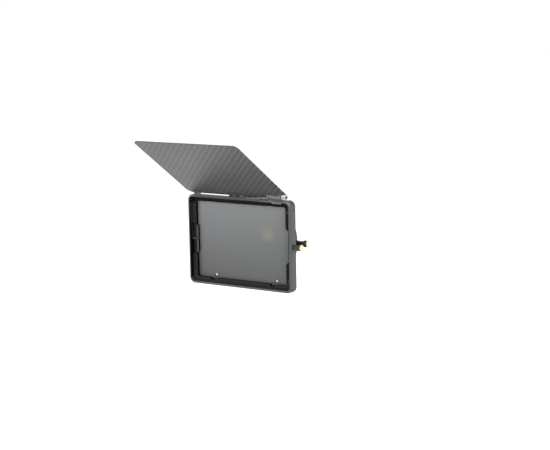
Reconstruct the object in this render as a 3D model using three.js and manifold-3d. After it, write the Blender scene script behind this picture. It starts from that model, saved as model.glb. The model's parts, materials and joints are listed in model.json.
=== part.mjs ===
// A slim clip-on matte box for 4 x 5.65 in filters: a bezel with a filter stage behind it, a round clamp
// for the lens front, and a carbon fibre top flag on a friction hinge.
// Millimetres, +Z up, +X to the right as seen by someone who faces the front, which looks along -Y.
// The origin lies on the lens axis, in the face that the front of the lens stops against.
import * as THREE from "three";
import { mergeVertices } from "three/addons/utils/BufferGeometryUtils.js";
import Module from "manifold-3d";

const wasm = await Module();
wasm.setup();

// Driving dimensions

// The filter, a bare sheet of neutral grey glass
const filterWidth = 143.5;
const filterHeight = 101.6;
const filterThickness = 4;
const filterClearance = 0.35; // free play of the glass in its slot

// The body round the filter
const sideMargin = 8.75; // from the glass to the outside of the bezel, left and right
const endMargin = 6.7; // the same above and below
const cornerRadius = 8;
const frontChamfer = 2;
const rimWall = 4;
const pocketDepth = 4.7; // from the front of the rim back to the ledge
const ledgeThickness = 4;
const ledgeOverlap = 2; // how far the ledge reaches over the glass
const apertureRadius = 3;
const skirtLength = 2.3; // bezel behind the ledge
const rearPlateThickness = 2.5;
const rearInsetSide = 4; // the stage behind the bezel is narrower by this much
const rearInsetEnd = 2.5;

// The lens clamp
const boreMargin = 2.3; // from the ends of the glass to the clear bore behind it
const lensRest = 6.5; // the lens front, 110 across, stands this far beyond that bore all round
const lensFit = 0.25; // radial play of the lens front in the clamp
const clampWall = 4.5;
const clampLength = 25.5; // of the socket behind the stop face
const stopThickness = 2.5;

// The flag and its hinge
const flagWidth = 157;
const flagLength = 130.8;
const flagThickness = 1.5;
const flagRadius = 6.5; // of its front corners
const flagRearRadius = 8.5;
const flagTilt = 34.5; // degrees above level
const hingeDepth = 3; // hinge axis behind the front of the rim
const hingeRise = 3.9; // hinge axis above the top of the bezel
const flagTail = 1.2; // flag behind the hinge axis
const flagDrop = 0.8; // middle of the flag below the hinge axis

// Fits
const seam = 0.05; // joint line between parts that are screwed together
const gap = 0.3; // running and seating clearance
const overrun = 1; // how far a cutting tool runs past what it cuts
const weldDistance = 0.0001; // corners closer than this are one
const roundSteps = 6; // facets in a quarter of a small outline corner
const headFacets = 12; // round a screw head
const shankFacets = 8;
const boreFacets = 16; // round a pin, a bushing or a knuckle
const knobFacets = 24;
const windowFacets = 64; // round the stop's bore
const clampFacets = 72;

// Places that follow from them
const frameWidth = filterWidth + 2 * sideMargin;
const frameHeight = filterHeight + 2 * endMargin;
const halfWidth = frameWidth / 2;
const halfHeight = frameHeight / 2;
const apertureHalfWidth = filterWidth / 2 - ledgeOverlap;
const apertureHalfHeight = filterHeight / 2 - ledgeOverlap;
const rimInnerX = halfWidth - rimWall;
const rimInnerZ = halfHeight - rimWall;
const ledgeBack = pocketDepth + ledgeThickness;
const filterFront = ledgeBack + filterClearance;
const filterBack = filterFront + filterThickness;
const skirtBack = ledgeBack + skirtLength;
const channelFront = skirtBack + seam;
const channelBack = filterBack + filterClearance;
const plateFront = channelBack + seam;
const plateBack = plateFront + rearPlateThickness;
const flangeFront = plateBack + seam;
const lensStop = flangeFront + stopThickness;
const clampBack = lensStop + clampLength;
const slotHalfWidth = filterWidth / 2 + filterClearance;
const stageHalfWidth = halfWidth - rearInsetSide;
const stageHalfHeight = halfHeight - rearInsetEnd;
const stageRadius = cornerRadius - rearInsetEnd;
const stopBoreRadius = filterHeight / 2 - boreMargin;
const hingeZ = halfHeight + hingeRise;

// Solids and booleans

function solidOf(geometry) {
  const bare = geometry.clone();
  bare.deleteAttribute("normal");
  bare.deleteAttribute("uv");
  const merged = mergeVertices(bare, weldDistance);
  return new wasm.Manifold(
    new wasm.Mesh({
      numProp: 3,
      vertProperties: merged.attributes.position.array,
      triVerts: new Uint32Array(merged.index.array),
    }),
  );
}

function geometryOf(solid) {
  const mesh = solid.getMesh();
  const geometry = new THREE.BufferGeometry();
  geometry.setAttribute("position", new THREE.BufferAttribute(mesh.vertProperties, 3));
  geometry.setIndex(new THREE.BufferAttribute(mesh.triVerts, 1));
  return geometry;
}

function cut(base, ...tools) {
  return geometryOf(tools.reduce((solid, tool) => solid.subtract(solidOf(tool)), solidOf(base)));
}

function join(base, ...others) {
  return geometryOf(others.reduce((solid, other) => solid.add(solidOf(other)), solidOf(base)));
}

function common(base, other) {
  return geometryOf(solidOf(base).intersect(solidOf(other)));
}

// A block between two values on each axis. Y is the depth behind the front of the rim.
function block([x0, x1], [y0, y1], [z0, z1]) {
  const geometry = new THREE.BoxGeometry(x1 - x0, y1 - y0, z1 - z0);
  return geometry.translate((x0 + x1) / 2, (y0 + y1) / 2, (z0 + z1) / 2);
}

// A body turned about an axis, from [distance along the axis, radius] points
function turned(points, axis, facets) {
  const profile = points.map(([along, radius]) => new THREE.Vector2(radius, along));
  const geometry = new THREE.LatheGeometry(profile, facets);
  if (axis === "x") geometry.rotateZ(-Math.PI / 2);
  if (axis === "z") geometry.rotateX(Math.PI / 2);
  return geometry;
}

// Where an axis lies: [Y, Z] for an axis along X, [X, Z] along Y, [X, Y] along Z
function spotOf(axis, [a, b]) {
  if (axis === "x") return [0, a, b];
  if (axis === "y") return [a, 0, b];
  return [a, b, 0];
}

function rod(axis, radius, [start, end], spot, facets = boreFacets) {
  const points = [[start, 0], [start, radius], [end, radius], [end, 0]];
  return turned(points, axis, facets).translate(...spotOf(axis, spot));
}

function tube(axis, outer, inner, [start, end], spot, facets = boreFacets) {
  return cut(
    rod(axis, outer, [start, end], spot, facets),
    rod(axis, inner, [start - overrun, end + overrun], spot, facets),
  );
}

// A rounded rectangle in the plane of the front, as a shape or as points
function roundedRectangle(halfW, halfH, radius, upperRadius = radius) {
  const shape = new THREE.Shape();
  shape.absarc(halfW - upperRadius, halfH - upperRadius, upperRadius, 0, Math.PI / 2);
  shape.absarc(upperRadius - halfW, halfH - upperRadius, upperRadius, Math.PI / 2, Math.PI);
  shape.absarc(radius - halfW, radius - halfH, radius, Math.PI, 1.5 * Math.PI);
  shape.absarc(halfW - radius, radius - halfH, radius, 1.5 * Math.PI, 2 * Math.PI);
  return shape;
}

// A shape drawn in X and Z, pushed back from one depth to another
function pushedBack(shape, [front, back]) {
  const geometry = new THREE.ExtrudeGeometry(shape, {
    depth: back - front,
    bevelEnabled: false,
    curveSegments: roundSteps,
  });
  return geometry.rotateX(Math.PI / 2).translate(0, back, 0);
}

// A shape drawn in Y and Z, drawn out from one X to another
function drawnOut(shape, [x0, x1]) {
  const geometry = new THREE.ExtrudeGeometry(shape, {
    depth: x1 - x0,
    bevelEnabled: false,
    curveSegments: roundSteps,
  });
  return geometry.rotateY(Math.PI / 2).rotateX(Math.PI / 2).translate(x0, 0, 0);
}

function ordered(a, b) {
  return [Math.min(a, b), Math.max(a, b)];
}

function polygon(points) {
  return new THREE.Shape(points.map(([a, b]) => new THREE.Vector2(a, b)));
}

// Materials

function finish(color, roughness, metalness) {
  return new THREE.MeshStandardMaterial({ color, roughness, metalness });
}

const anodised = finish("#2b2c2e", 0.6, 0.4);
const blackPlastic = finish("#1c1d1e", 0.55, 0);
const carbon = finish("#4a4c4f", 0.4, 0.1);
const glass = finish("#5d6062", 0.08, 0);
const brass = finish("#c6a15a", 0.25, 1);
const chromed = finish("#d8dadc", 0.12, 1);
const steel = finish("#9a9c9f", 0.35, 1);
const blackSteel = finish("#232426", 0.45, 0.6);
const rubber = finish("#151515", 0.9, 0);

const body = new THREE.Group();
body.position.y = -lensStop;

function place(parent, name, geometry, material) {
  const mesh = new THREE.Mesh(geometry, material);
  mesh.name = name;
  parent.add(mesh);
}

// Side pads that hold the glass: a sprung one on the left, one with a lock screw on the right
const padHalfLength = 19.3;
const padSlack = 0.4; // beside the pad in its recess
const padFront = pocketDepth + gap;
const padBack = filterBack - gap / 2;
const leftPadThickness = 3.15;
const leftPadLip = 2.05; // how far its lip stands past the edge of the aperture
const leftPadBevel = 3;
const leftPadTravel = 1;
const springThickness = 0.3;
const springBow = 0.5;
const springHalfLength = 13.5;
const rightPadThickness = 2.2;
const rightPadTravel = 1.1;
const rightPadRest = rightPadTravel + gap / 2; // free space between the glass and the open pad
const rightPadBevel = 1.5;
const recessFlare = 2.75;
const recessHalfLength = padHalfLength + padSlack;
const recessBackX = stageHalfWidth - overrun; // the stage keeps a skin outside the pads

// The lock screw of the right pad
const lockDepth = 6;
const lockScrewRadius = 1.9;
const lockTipRadius = 0.6;
const lockTipLength = 1.2;
const bushingRadius = 3.2;
const bushingFlangeRadius = 3.7;
const bushingFlangeThickness = 0.7;
const bushingRecess = 1;
const bushingRecessRadius = 4;

// The guide pin of the left pad
const guidePinRadius = 1.2;
const guidePinDepth = 5.4;
const guidePinBury = 3; // length in the rim

// Notches in the ledge, above and below, and the spring fingers in the lower two
const notchInset = 22.75; // from the side of the window to the middle of a notch
const notchX = apertureHalfWidth - notchInset;
const notchWidth = 5.4;
const notchHeight = 2.6;
const upperNotchDepth = 2.4; // the upper two don't go through the ledge
const fingerLean = 7.3; // the ball stands this far to the right of its root
const fingerRise = 7;
const fingerRoom = 1.5; // the root stands this far to the left of its notch's middle
const fingerRadius = 0.45;
const ballRadius = 1.5;
const fingerSteps = 8; // along the bent wire
const fingerFacets = 2; // in half of its section
const fingerRootLength = 1.5;
const fingerRootRadius = 1.1;
const fingerRootZ = -apertureHalfHeight - notchHeight;
const fingerDepth = pocketDepth + ledgeThickness / 2;

// Screws. Head and shank are radii, height is the head's and length the shank's.
const frameScrew = { head: 2.1, height: 1.3, shank: 1, length: 7 };
const flangeScrew = { head: 2.1, height: 1.3, shank: 1, length: 3.6 };
const ledgeScrew = { head: 1.5, height: 0.9, shank: 0.8, length: 2.8 };
const hingeScrew = { head: 1.45, height: 0.8, shank: 0.7, length: 3.2 };
const flagScrew = { head: 1.6, height: 0.8, shank: 0.7, length: 2.3 };
const socketShare = 0.5; // radius of a hexagon socket, of the head's
const socketDepthShare = 0.6; // its depth, of the head's height
const socketSides = 6;
const frameScrewInset = 8.5; // from the end of the stage
const ledgeScrewInset = 5.8; // from the end of the window
const ledgeScrewZ = apertureHalfHeight - ledgeScrewInset;
const sidePlugRadius = 1.5;
const sidePlugLength = 3;
const sidePlugDepth = 7.4;
const sidePlugInset = 11.9; // below the top
const sidePlugZ = halfHeight - sidePlugInset;

const stageWallMiddle = (slotHalfWidth + stageHalfWidth) / 2;
const frameScrewHighZ = stageHalfHeight - frameScrewInset;
const frameScrewLowZ = (recessHalfLength + frameScrewHighZ) / 2;
const frameScrewPlaces = [
  [-stageWallMiddle, frameScrewHighZ],
  [stageWallMiddle, frameScrewHighZ],
  [-stageWallMiddle, -frameScrewLowZ],
  [stageWallMiddle, -frameScrewLowZ],
  [-stageWallMiddle, -frameScrewHighZ],
  [stageWallMiddle, -frameScrewHighZ],
];
const frameScrewSeat = plateBack - frameScrew.height;
const ledgeMiddleX = (apertureHalfWidth + rimInnerX) / 2;
const bumperThickness = 1;
const bumperHalfWidth = 4;
const slotFloor = -filterHeight / 2 - bumperThickness - gap / 2;

// Bezel
function notchShape(side, end) {
  // A shallow bite out of the ledge with slanting ends
  const edge = end * (apertureHalfHeight - overrun);
  const deep = end * (apertureHalfHeight + notchHeight);
  const middle = side * notchX + (end < 0 ? fingerRoom : 0);
  return polygon([
    [middle - notchWidth / 2 - notchHeight, edge],
    [middle + notchWidth / 2 + notchHeight, edge],
    [middle + notchWidth / 2, deep],
    [middle - notchWidth / 2, deep],
  ]);
}

function rightRecessShape() {
  // Flares at 45 degrees where it meets the aperture
  return polygon([
    [apertureHalfWidth - overrun, -recessHalfLength - recessFlare - overrun],
    [apertureHalfWidth + recessFlare, -recessHalfLength],
    [rimInnerX, -recessHalfLength],
    [rimInnerX, recessHalfLength],
    [apertureHalfWidth + recessFlare, recessHalfLength],
    [apertureHalfWidth - overrun, recessHalfLength + recessFlare + overrun],
  ]);
}

function chamferedBezel() {
  // The outline in layers: small at the front of the chamfer, full from there back
  const layers = [
    [0, frontChamfer],
    [frontChamfer, 0],
    [skirtBack, 0],
  ];
  const rings = layers.map(([depth, inset]) => {
    const shape = roundedRectangle(halfWidth - inset, halfHeight - inset, cornerRadius - inset);
    const points = shape.getPoints(roundSteps).slice(0, -1);
    return points.map((point) => new THREE.Vector3(point.x, depth, point.y));
  });
  const count = rings[0].length;
  const positions = rings.flat().flatMap((point) => point.toArray());
  const faces = [];
  for (let ring = 0; ring + 1 < rings.length; ring++) {
    for (let i = 0; i < count; i++) {
      const a = ring * count + i;
      const b = ring * count + ((i + 1) % count);
      faces.push(a, a + count, b, b, a + count, b + count);
    }
  }
  const outline = rings[0].map((point) => new THREE.Vector2(point.x, point.z));
  const last = (rings.length - 1) * count;
  for (const [i, j, k] of THREE.ShapeUtils.triangulateShape(outline, [])) {
    faces.push(i, j, k, last + i, last + k, last + j);
  }
  const geometry = new THREE.BufferGeometry();
  geometry.setAttribute("position", new THREE.Float32BufferAttribute(positions, 3));
  geometry.setIndex(faces);
  return geometry;
}

function bezel() {
  const pocket = roundedRectangle(rimInnerX, rimInnerZ, cornerRadius - rimWall);
  const aperture = roundedRectangle(apertureHalfWidth, apertureHalfHeight, apertureRadius);
  const throughLedge = [pocketDepth - overrun, skirtBack + overrun];
  const partWay = [pocketDepth - overrun, pocketDepth + upperNotchDepth];
  const pads = [-recessHalfLength, recessHalfLength];
  const pinSocket = [-rimInnerX - guidePinBury - gap, overrun - rimInnerX];
  const tools = [
    pushedBack(pocket, [-overrun, pocketDepth]),
    pushedBack(aperture, throughLedge),
    // The slot that the glass drops into, open at the top
    block(
      [-slotHalfWidth, slotHalfWidth],
      [ledgeBack, skirtBack + overrun],
      [slotFloor, halfHeight + overrun],
    ),
    // The recesses of the two pads
    block([-rimInnerX, -apertureHalfWidth + overrun], [pocketDepth - overrun, ledgeBack + overrun], pads),
    block([-recessBackX, -apertureHalfWidth], [ledgeBack, skirtBack + overrun], pads),
    pushedBack(rightRecessShape(), [pocketDepth - overrun, ledgeBack + overrun]),
    block([apertureHalfWidth, recessBackX], [ledgeBack, skirtBack + overrun], pads),
    // The lock screw's bushing and the guide pin
    rod("x", bushingRadius + seam, [rimInnerX - overrun, halfWidth + overrun], [lockDepth, 0]),
    rod("x", bushingRecessRadius, [halfWidth - bushingRecess, halfWidth + overrun], [lockDepth, 0]),
    rod("x", guidePinRadius + seam, pinSocket, [guidePinDepth, 0]),
  ];
  for (const end of [-1, 1]) {
    for (const side of [-1, 1]) {
      tools.push(pushedBack(notchShape(side, end), end < 0 ? throughLedge : partWay));
      const ledgePlace = [side * ledgeMiddleX, end * ledgeScrewZ];
      tools.push(...screwHole(ledgeScrew, "y", -1, pocketDepth, ledgePlace));
    }
  }
  for (const side of [-1, 1]) {
    const wall = side * halfWidth;
    const floor = wall - side * (sidePlugLength + gap);
    const span = ordered(wall + side * overrun, floor);
    tools.push(rod("x", sidePlugRadius + seam, span, [sidePlugDepth, sidePlugZ], headFacets));
  }
  for (const spot of frameScrewPlaces) {
    const tip = frameScrewSeat - frameScrew.length - gap;
    tools.push(shankHole(frameScrew, "y", [tip, skirtBack + overrun], spot));
  }
  for (const x of baseScrewPlaces) {
    const span = [halfHeight - hingeScrew.length, halfHeight + overrun];
    tools.push(shankHole(hingeScrew, "z", span, [x, baseScrewDepth]));
  }
  // The root of each spring finger
  for (const side of [-1, 1]) {
    const root = [side * notchX, fingerDepth];
    const span = [fingerRootZ - fingerRootLength - gap, fingerRootZ + overrun];
    tools.push(rod("z", fingerRootRadius + gap, span, root, shankFacets));
  }
  return cut(chamferedBezel(), ...tools);
}

// A screw with a round head and a hexagon socket. Facing is the way its head looks along its axis, -1 or 1,
// and seat is where the underside of the head lies.
function screw({ head, height, shank, length }, axis, facing, seat, spot, sunk = false) {
  const top = seat + facing * height;
  const tip = seat - facing * length;
  const underside = sunk ? [] : [[seat, head]];
  const points = [[tip, 0], [tip, shank], [seat, shank], ...underside, [top, head], [top, 0]];
  if (facing < 0) points.reverse();
  const socket = ordered(top - facing * height * socketDepthShare, top + facing * overrun);
  const whole = turned(points, axis, headFacets).translate(...spotOf(axis, spot));
  return cut(whole, rod(axis, head * socketShare, socket, spot, socketSides));
}

// The tools that cut a screw's hole and the seat of its head
function shankHole({ shank }, axis, span, spot) {
  return rod(axis, shank + gap / 2, span, spot, shankFacets);
}

function headHole({ head }, axis, span, spot) {
  return rod(axis, head + gap / 2, span, spot, headFacets);
}

// Both of them for a screw whose head is level with a face
function screwHole(kind, axis, facing, face, spot) {
  const seat = face - facing * kind.height;
  const open = face + facing * overrun;
  return [
    shankHole(kind, axis, ordered(seat - facing * (kind.length + gap), open), spot),
    headHole(kind, axis, ordered(seat - facing * gap, open), spot),
  ];
}

// The filter stage: a U of sheet beside and below the glass, and a plate with the round window behind it
function filterChannel() {
  const outline = roundedRectangle(stageHalfWidth, stageHalfHeight, stageRadius);
  const past = [channelFront - overrun, channelBack + overrun];
  const tools = [
    block([-slotHalfWidth, slotHalfWidth], past, [slotFloor, stageHalfHeight + overrun]),
    block([-recessBackX, recessBackX], past, [-recessHalfLength, recessHalfLength]),
    ...frameScrewPlaces.map((spot) => shankHole(frameScrew, "y", past, spot)),
  ];
  return cut(pushedBack(outline, [channelFront, channelBack]), ...tools);
}

function rearPlate() {
  const outline = roundedRectangle(stageHalfWidth, stageHalfHeight, stageRadius);
  const past = [plateFront - overrun, plateBack + overrun];
  const tools = [rod("y", stopBoreRadius, past, [0, 0], windowFacets)];
  for (const spot of frameScrewPlaces) {
    tools.push(shankHole(frameScrew, "y", past, spot));
    tools.push(headHole(frameScrew, "y", [frameScrewSeat, plateBack + overrun], spot));
  }
  for (const spot of flangeScrewPlaces) {
    tools.push(shankHole(flangeScrew, "y", past, spot));
  }
  return cut(pushedBack(outline, [plateFront, plateBack]), ...tools);
}

// The lens clamp: stop flange, socket, and a boss for the radial screw with its pressure shoe
const socketRadius = stopBoreRadius + lensRest + lensFit;
const clampRadius = socketRadius + clampWall;
const shoeFromEnd = 8;
const shoeDepth = clampBack - shoeFromEnd;
const shoeHalfWidth = 5;
const shoeThickness = 1.8;
const shoeHalfAngle = 13; // degrees
const shoeTravel = 2;
const clampBossRadius = 6.5;
const clampBossHeight = 1;
const clampBossEnd = clampRadius + clampBossHeight;
const clampScrewRadius = 2.4;
const insertRadius = 3.6;
const shoeHalfHeight = (socketRadius + shoeThickness) * Math.sin(THREE.MathUtils.degToRad(shoeHalfAngle));

// The foam ring that seals against the lens lies in a rebate of the stop flange
const sealThickness = 1.2;
const sealInset = 1; // how far it stands into the bore
const sealWidth = 2.4;
const sealInner = stopBoreRadius - sealInset;
const sealOuter = sealInner + sealWidth;

// The flange's screws lie between the seal and the socket
const flangeScrewCount = 4;
const flangeScrewRing = (sealOuter + socketRadius) / 2;
const flangeScrewSeat = lensStop - flangeScrew.height;
const flangeScrewPlaces = Array.from({ length: flangeScrewCount }, (_, i) => {
  const angle = ((i + 1 / 2) * 2 * Math.PI) / flangeScrewCount;
  return [flangeScrewRing * Math.cos(angle), flangeScrewRing * Math.sin(angle)];
});

function clampRing(radius, [front, back], facets = clampFacets) {
  return rod("y", radius, [front, back], [0, 0], facets);
}

function shoePocket(extra) {
  const halfDepth = shoeHalfWidth + extra;
  const halfHigh = shoeHalfHeight + extra;
  const depth = [shoeDepth - halfDepth, shoeDepth + halfDepth];
  const round = clampRing(socketRadius + shoeThickness + extra, [depth[0] - overrun, depth[1] + overrun]);
  return common(round, block([0, clampRadius], depth, [-halfHigh, halfHigh]));
}

function lensClamp() {
  const bossSpan = [socketRadius + shoeThickness, clampBossEnd];
  const boss = rod("x", clampBossRadius, bossSpan, [shoeDepth, 0], knobFacets);
  const shell = join(clampRing(clampRadius, [flangeFront, clampBack]), boss);
  const tools = [
    clampRing(stopBoreRadius, [flangeFront - overrun, lensStop + overrun], windowFacets),
    clampRing(socketRadius, [lensStop, clampBack + overrun]),
    clampRing(sealOuter + seam, [lensStop - sealThickness - seam, lensStop + overrun]),
    shoePocket(gap),
    rod("x", insertRadius + seam, [socketRadius, clampBossEnd + overrun], [shoeDepth, 0]),
  ];
  for (const spot of flangeScrewPlaces) {
    tools.push(shankHole(flangeScrew, "y", [flangeFront - overrun, lensStop + overrun], spot));
    tools.push(headHole(flangeScrew, "y", [flangeScrewSeat, lensStop + overrun], spot));
  }
  return cut(shell, ...tools);
}

function clampShoe() {
  return cut(shoePocket(0), clampRing(socketRadius, [lensStop, clampBack]));
}

// Knobs: a neck, a knurled head and a domed end, turned about X
function knob(neckRadius, headRadius, [start, headStart, end], bevel) {
  const neck = [[start, neckRadius], [headStart, neckRadius]];
  return turned(
    [
      [start, 0],
      ...(headStart > start ? neck : []),
      [headStart, headRadius - bevel],
      [headStart + bevel, headRadius],
      [end - bevel, headRadius],
      [end, headRadius - bevel],
      [end, 0],
    ],
    "x",
    knobFacets,
  );
}

const lockNeckStart = halfWidth + rightPadTravel + gap;
const lockNeckRadius = 2.9;
const lockHeadRadius = 4.15;
const lockHeadStandoff = 5.1;
const lockHeadStart = halfWidth + lockHeadStandoff;
const lockHeadLength = 7.4;
const knobBevel = 0.6;
const clampNeckStart = clampBossEnd + shoeTravel + gap;
const clampNeckRadius = 3.4;
const clampHeadRadius = 4.3;
const clampHeadStandoff = 14.4;
const clampHeadStart = clampBossEnd + clampHeadStandoff;
const clampHeadLength = 6.8;

// Hinges of the flag. Every ear and knuckle is centred on one axis along X.
const earThickness = 1.4;
const baseThickness = 0.9;
const footThickness = 1.2;
const baseFront = frontChamfer + gap;
const baseBack = ledgeBack - 2 * gap;
const baseScrewInset = 2.2;
const baseScrewDepth = baseBack - baseScrewInset;
const bracketThickness = 1.4;
const bracketBack = 1.2;
const notchClear = 0.5;
const hingeSpot = [hingeDepth, hingeZ];

// The friction hinge at the right: ears, a barrel between them, an axle and a knob
const barrelRadius = hingeRise - baseThickness - gap;
const barrelLength = 17.9;
const barrelInset = 15; // from the side of the bezel
const axleRadius = 1.2;
const axleHeadRadius = 1.9;
const axleHeadLength = 1.2;
const baseFootReach = 13.6; // of the base, to the left of the barrel
const baseScrewEnd = 2.5; // from the foot's left end to its first screw
const baseScrewPitch = 5.5;
const tabInset = 5.6; // the tab on the rim's front begins this far right of the barrel's end
const tabDrop = 4.3; // bottom of the tab below the top of the bezel
const tabBottom = halfHeight - tabDrop;
const tabTop = halfHeight - frontChamfer;
const knobSpan = 5.2;
const knobRadius = 3.8;
const knobBoreDepth = 2.6;
const washerRadius = 3;
const washerThickness = 0.4;
const barrelNotch = 6.5; // reach of the flag's cut-outs over the barrel and over the knob
const knobNotch = 9.2;
const rightPlateInset = 1.5;
const rightPlateEnd = 17;
const rightScrewInset = 3.5;
const rightScrewReach = 12.5; // from the hinge axis

const barrelSpan = [halfWidth - barrelInset - barrelLength, halfWidth - barrelInset];
const rightEars = [
  [barrelSpan[0] - gap - earThickness, barrelSpan[0] - gap],
  [barrelSpan[1] + gap, barrelSpan[1] + gap + earThickness],
];
const tabStart = barrelSpan[0] + tabInset;
const axleHeadStart = rightEars[0][0] - seam - axleHeadLength;
const washerStart = rightEars[1][1] + seam;
const knobStart = washerStart + washerThickness + seam;
const baseFootStart = barrelSpan[0] - baseFootReach;
const rightBaseScrews = [
  baseFootStart + baseScrewEnd,
  baseFootStart + baseScrewEnd + baseScrewPitch,
];
const rightPlate = [barrelSpan[0] + rightPlateInset, barrelSpan[1] - rightPlateInset];
const rightFlagScrews = [
  [rightPlate[0] + rightScrewInset, rightScrewReach],
  [rightPlate[1] - rightScrewInset, rightScrewReach],
];

// The two plain hinges, each with a pin through one knuckle
const pinRadius = 0.9;
const knuckleEarRadius = hingeRise - footThickness - 2 * (gap + seam);
const knuckleRadius = knuckleEarRadius - 2 * seam;
const plainPlateEnd = 9;

const leftHingeInset = 13.25; // from the side of the bezel to the middle of the knuckle
const leftKnuckleWidth = 2.9;
const leftFootHalf = leftKnuckleWidth / 2 + gap + earThickness;
const leftPlateReach = 9.25;
const leftFlagScrew = 6.25; // from the middle of the knuckle
const leftScrewReach = 7; // from the hinge axis

const middleHingeOffset = 8.15; // to the left of the middle of the bezel
const middleKnuckleWidth = 8.1;
const middleFootLeft = 7.45;
const middleFootRight = 15.15;
const middleBaseScrewRight = 11.15;
const middlePlateReach = 18.95;
const middleFlagScrewEnd = 3; // from the bracket's end
const middleFlagScrewPitch = 6.7;
const middleScrewReach = 5.5;

function plainHinge(name, centre, width, foot, screws, reach, flagScrews) {
  return {
    name,
    knuckle: [centre - width / 2, centre + width / 2],
    foot: [centre - foot[0], centre + foot[1]],
    screws: screws.map((offset) => centre + offset),
    plate: [centre - width / 2, centre + reach],
    flagScrews: flagScrews.map(([offset, out]) => [centre + offset, out]),
  };
}

const plainHinges = [
  plainHinge(
    "left",
    leftHingeInset - halfWidth,
    leftKnuckleWidth,
    [leftFootHalf, leftFootHalf],
    [0],
    leftPlateReach,
    [[leftFlagScrew, leftScrewReach]],
  ),
  plainHinge(
    "middle",
    -middleHingeOffset,
    middleKnuckleWidth,
    [middleFootLeft, middleFootRight],
    [0, middleBaseScrewRight],
    middlePlateReach,
    [
      [middlePlateReach - middleFlagScrewEnd - middleFlagScrewPitch, middleScrewReach],
      [middlePlateReach - middleFlagScrewEnd, middleScrewReach],
    ],
  ),
];
const baseScrewPlaces = [...plainHinges.flatMap(({ screws }) => screws), ...rightBaseScrews];

function earShape(radius, foot) {
  // From the foot on top of the bezel up round the hinge axis, and straight down to the foot's front again
  const footTop = halfHeight + seam + foot;
  const forward = baseFront - hingeDepth;
  const down = footTop - hingeZ;
  const bearing = 2 * Math.PI + Math.atan2(down, forward);
  const touch = bearing - Math.acos(radius / Math.hypot(forward, down));
  const shape = new THREE.Shape();
  shape.moveTo(baseFront, halfHeight + seam);
  shape.lineTo(baseBack, halfHeight + seam);
  shape.lineTo(baseBack, footTop);
  shape.lineTo(hingeDepth + radius, hingeZ);
  shape.absarc(hingeDepth, hingeZ, radius, 0, touch);
  shape.lineTo(baseFront, footTop);
  return shape;
}

function footShape(foot) {
  return polygon([
    [baseFront, halfHeight + seam],
    [baseBack, halfHeight + seam],
    [baseBack, halfHeight + seam + foot],
    [baseFront, halfHeight + seam + foot],
  ]);
}

// The friction hinge's base is a bent plate: it lies on the rim's front, its chamfer and the top
function bentPlateShape(bottom) {
  const outer = baseThickness + seam;
  const turn = outer * Math.tan(Math.PI / 8);
  return polygon([
    [-outer, bottom],
    [-seam, bottom],
    [-seam, halfHeight - frontChamfer + seam * Math.tan(Math.PI / 8)],
    [frontChamfer - seam * Math.tan(Math.PI / 8), halfHeight + seam],
    [baseBack, halfHeight + seam],
    [baseBack, halfHeight + outer],
    [frontChamfer - turn, halfHeight + outer],
    [-outer, halfHeight - frontChamfer + turn],
  ]);
}

function screwedFoot(geometry, screws, foot) {
  const tools = screws.flatMap((x) =>
    screwHole(hingeScrew, "z", 1, halfHeight + seam + foot, [x, baseScrewDepth]),
  );
  return cut(geometry, ...tools);
}

function plainBase({ knuckle, foot, screws }) {
  const ears = [
    [knuckle[0] - gap - earThickness, knuckle[0] - gap],
    [knuckle[1] + gap, knuckle[1] + gap + earThickness],
  ];
  const solid = join(
    drawnOut(footShape(footThickness), foot),
    ...ears.map((span) => drawnOut(earShape(knuckleEarRadius, footThickness), span)),
  );
  const room = [knuckle[0] - gap, knuckle[1] + gap];
  const clear = rod("x", knuckleRadius + 2 * gap, room, hingeSpot);
  const bore = rod("x", pinRadius + gap / 2, [ears[0][0] - overrun, ears[1][1] + overrun], hingeSpot);
  return screwedFoot(cut(solid, clear, bore), screws, footThickness);
}

function rightBase() {
  const solid = join(
    drawnOut(bentPlateShape(tabTop - baseThickness), [baseFootStart, tabStart]),
    drawnOut(bentPlateShape(tabBottom), [tabStart, rightEars[1][1]]),
    ...rightEars.map((span) => drawnOut(earShape(barrelRadius, baseThickness), span)),
  );
  const bore = [baseFootStart - overrun, rightEars[1][1] + overrun];
  const axle = rod("x", axleRadius + gap / 2, bore, hingeSpot);
  return screwedFoot(cut(solid, axle), rightBaseScrews, baseThickness);
}

// Screws of a base are sunk flush with its foot
function baseScrew(x, foot) {
  const seat = halfHeight + seam + foot - hingeScrew.height;
  return screw(hingeScrew, "z", 1, seat, [x, baseScrewDepth], true);
}

// The flag and what turns with it, drawn level, with the hinge axis as their X axis
const flagScrewPlaces = [...plainHinges.flatMap(({ flagScrews }) => flagScrews), ...rightFlagScrews];
const flagTop = -flagDrop + flagThickness / 2;
const flagBottom = -flagDrop - flagThickness / 2;
const bracketBottom = flagTop + seam;
const bracketTop = bracketBottom + bracketThickness;

function flagPlate() {
  const shape = roundedRectangle(flagWidth / 2, flagLength / 2, flagRadius, flagRearRadius);
  const sheet = new THREE.ExtrudeGeometry(shape, {
    depth: flagThickness,
    bevelEnabled: false,
    curveSegments: roundSteps,
  }).translate(0, flagTail - flagLength / 2, flagBottom);
  const level = [flagBottom - overrun, flagTop + overrun];
  const notch = ([start, end], reach) => block([start, end], [-reach, flagTail + overrun], level);
  const tools = plainHinges.map(({ knuckle }) => {
    const side = gap + earThickness + notchClear;
    return notch([knuckle[0] - side, knuckle[1] + side], knuckleEarRadius + notchClear);
  });
  tools.push(notch([axleHeadStart - notchClear, flagWidth / 2], barrelNotch));
  tools.push(notch([rightEars[1][1] - notchClear, flagWidth / 2 + overrun], knobNotch));
  for (const [x, reach] of flagScrewPlaces) {
    tools.push(shankHole(flagScrew, "z", level, [x, -reach]));
  }
  return cut(sheet, ...tools);
}

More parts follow.
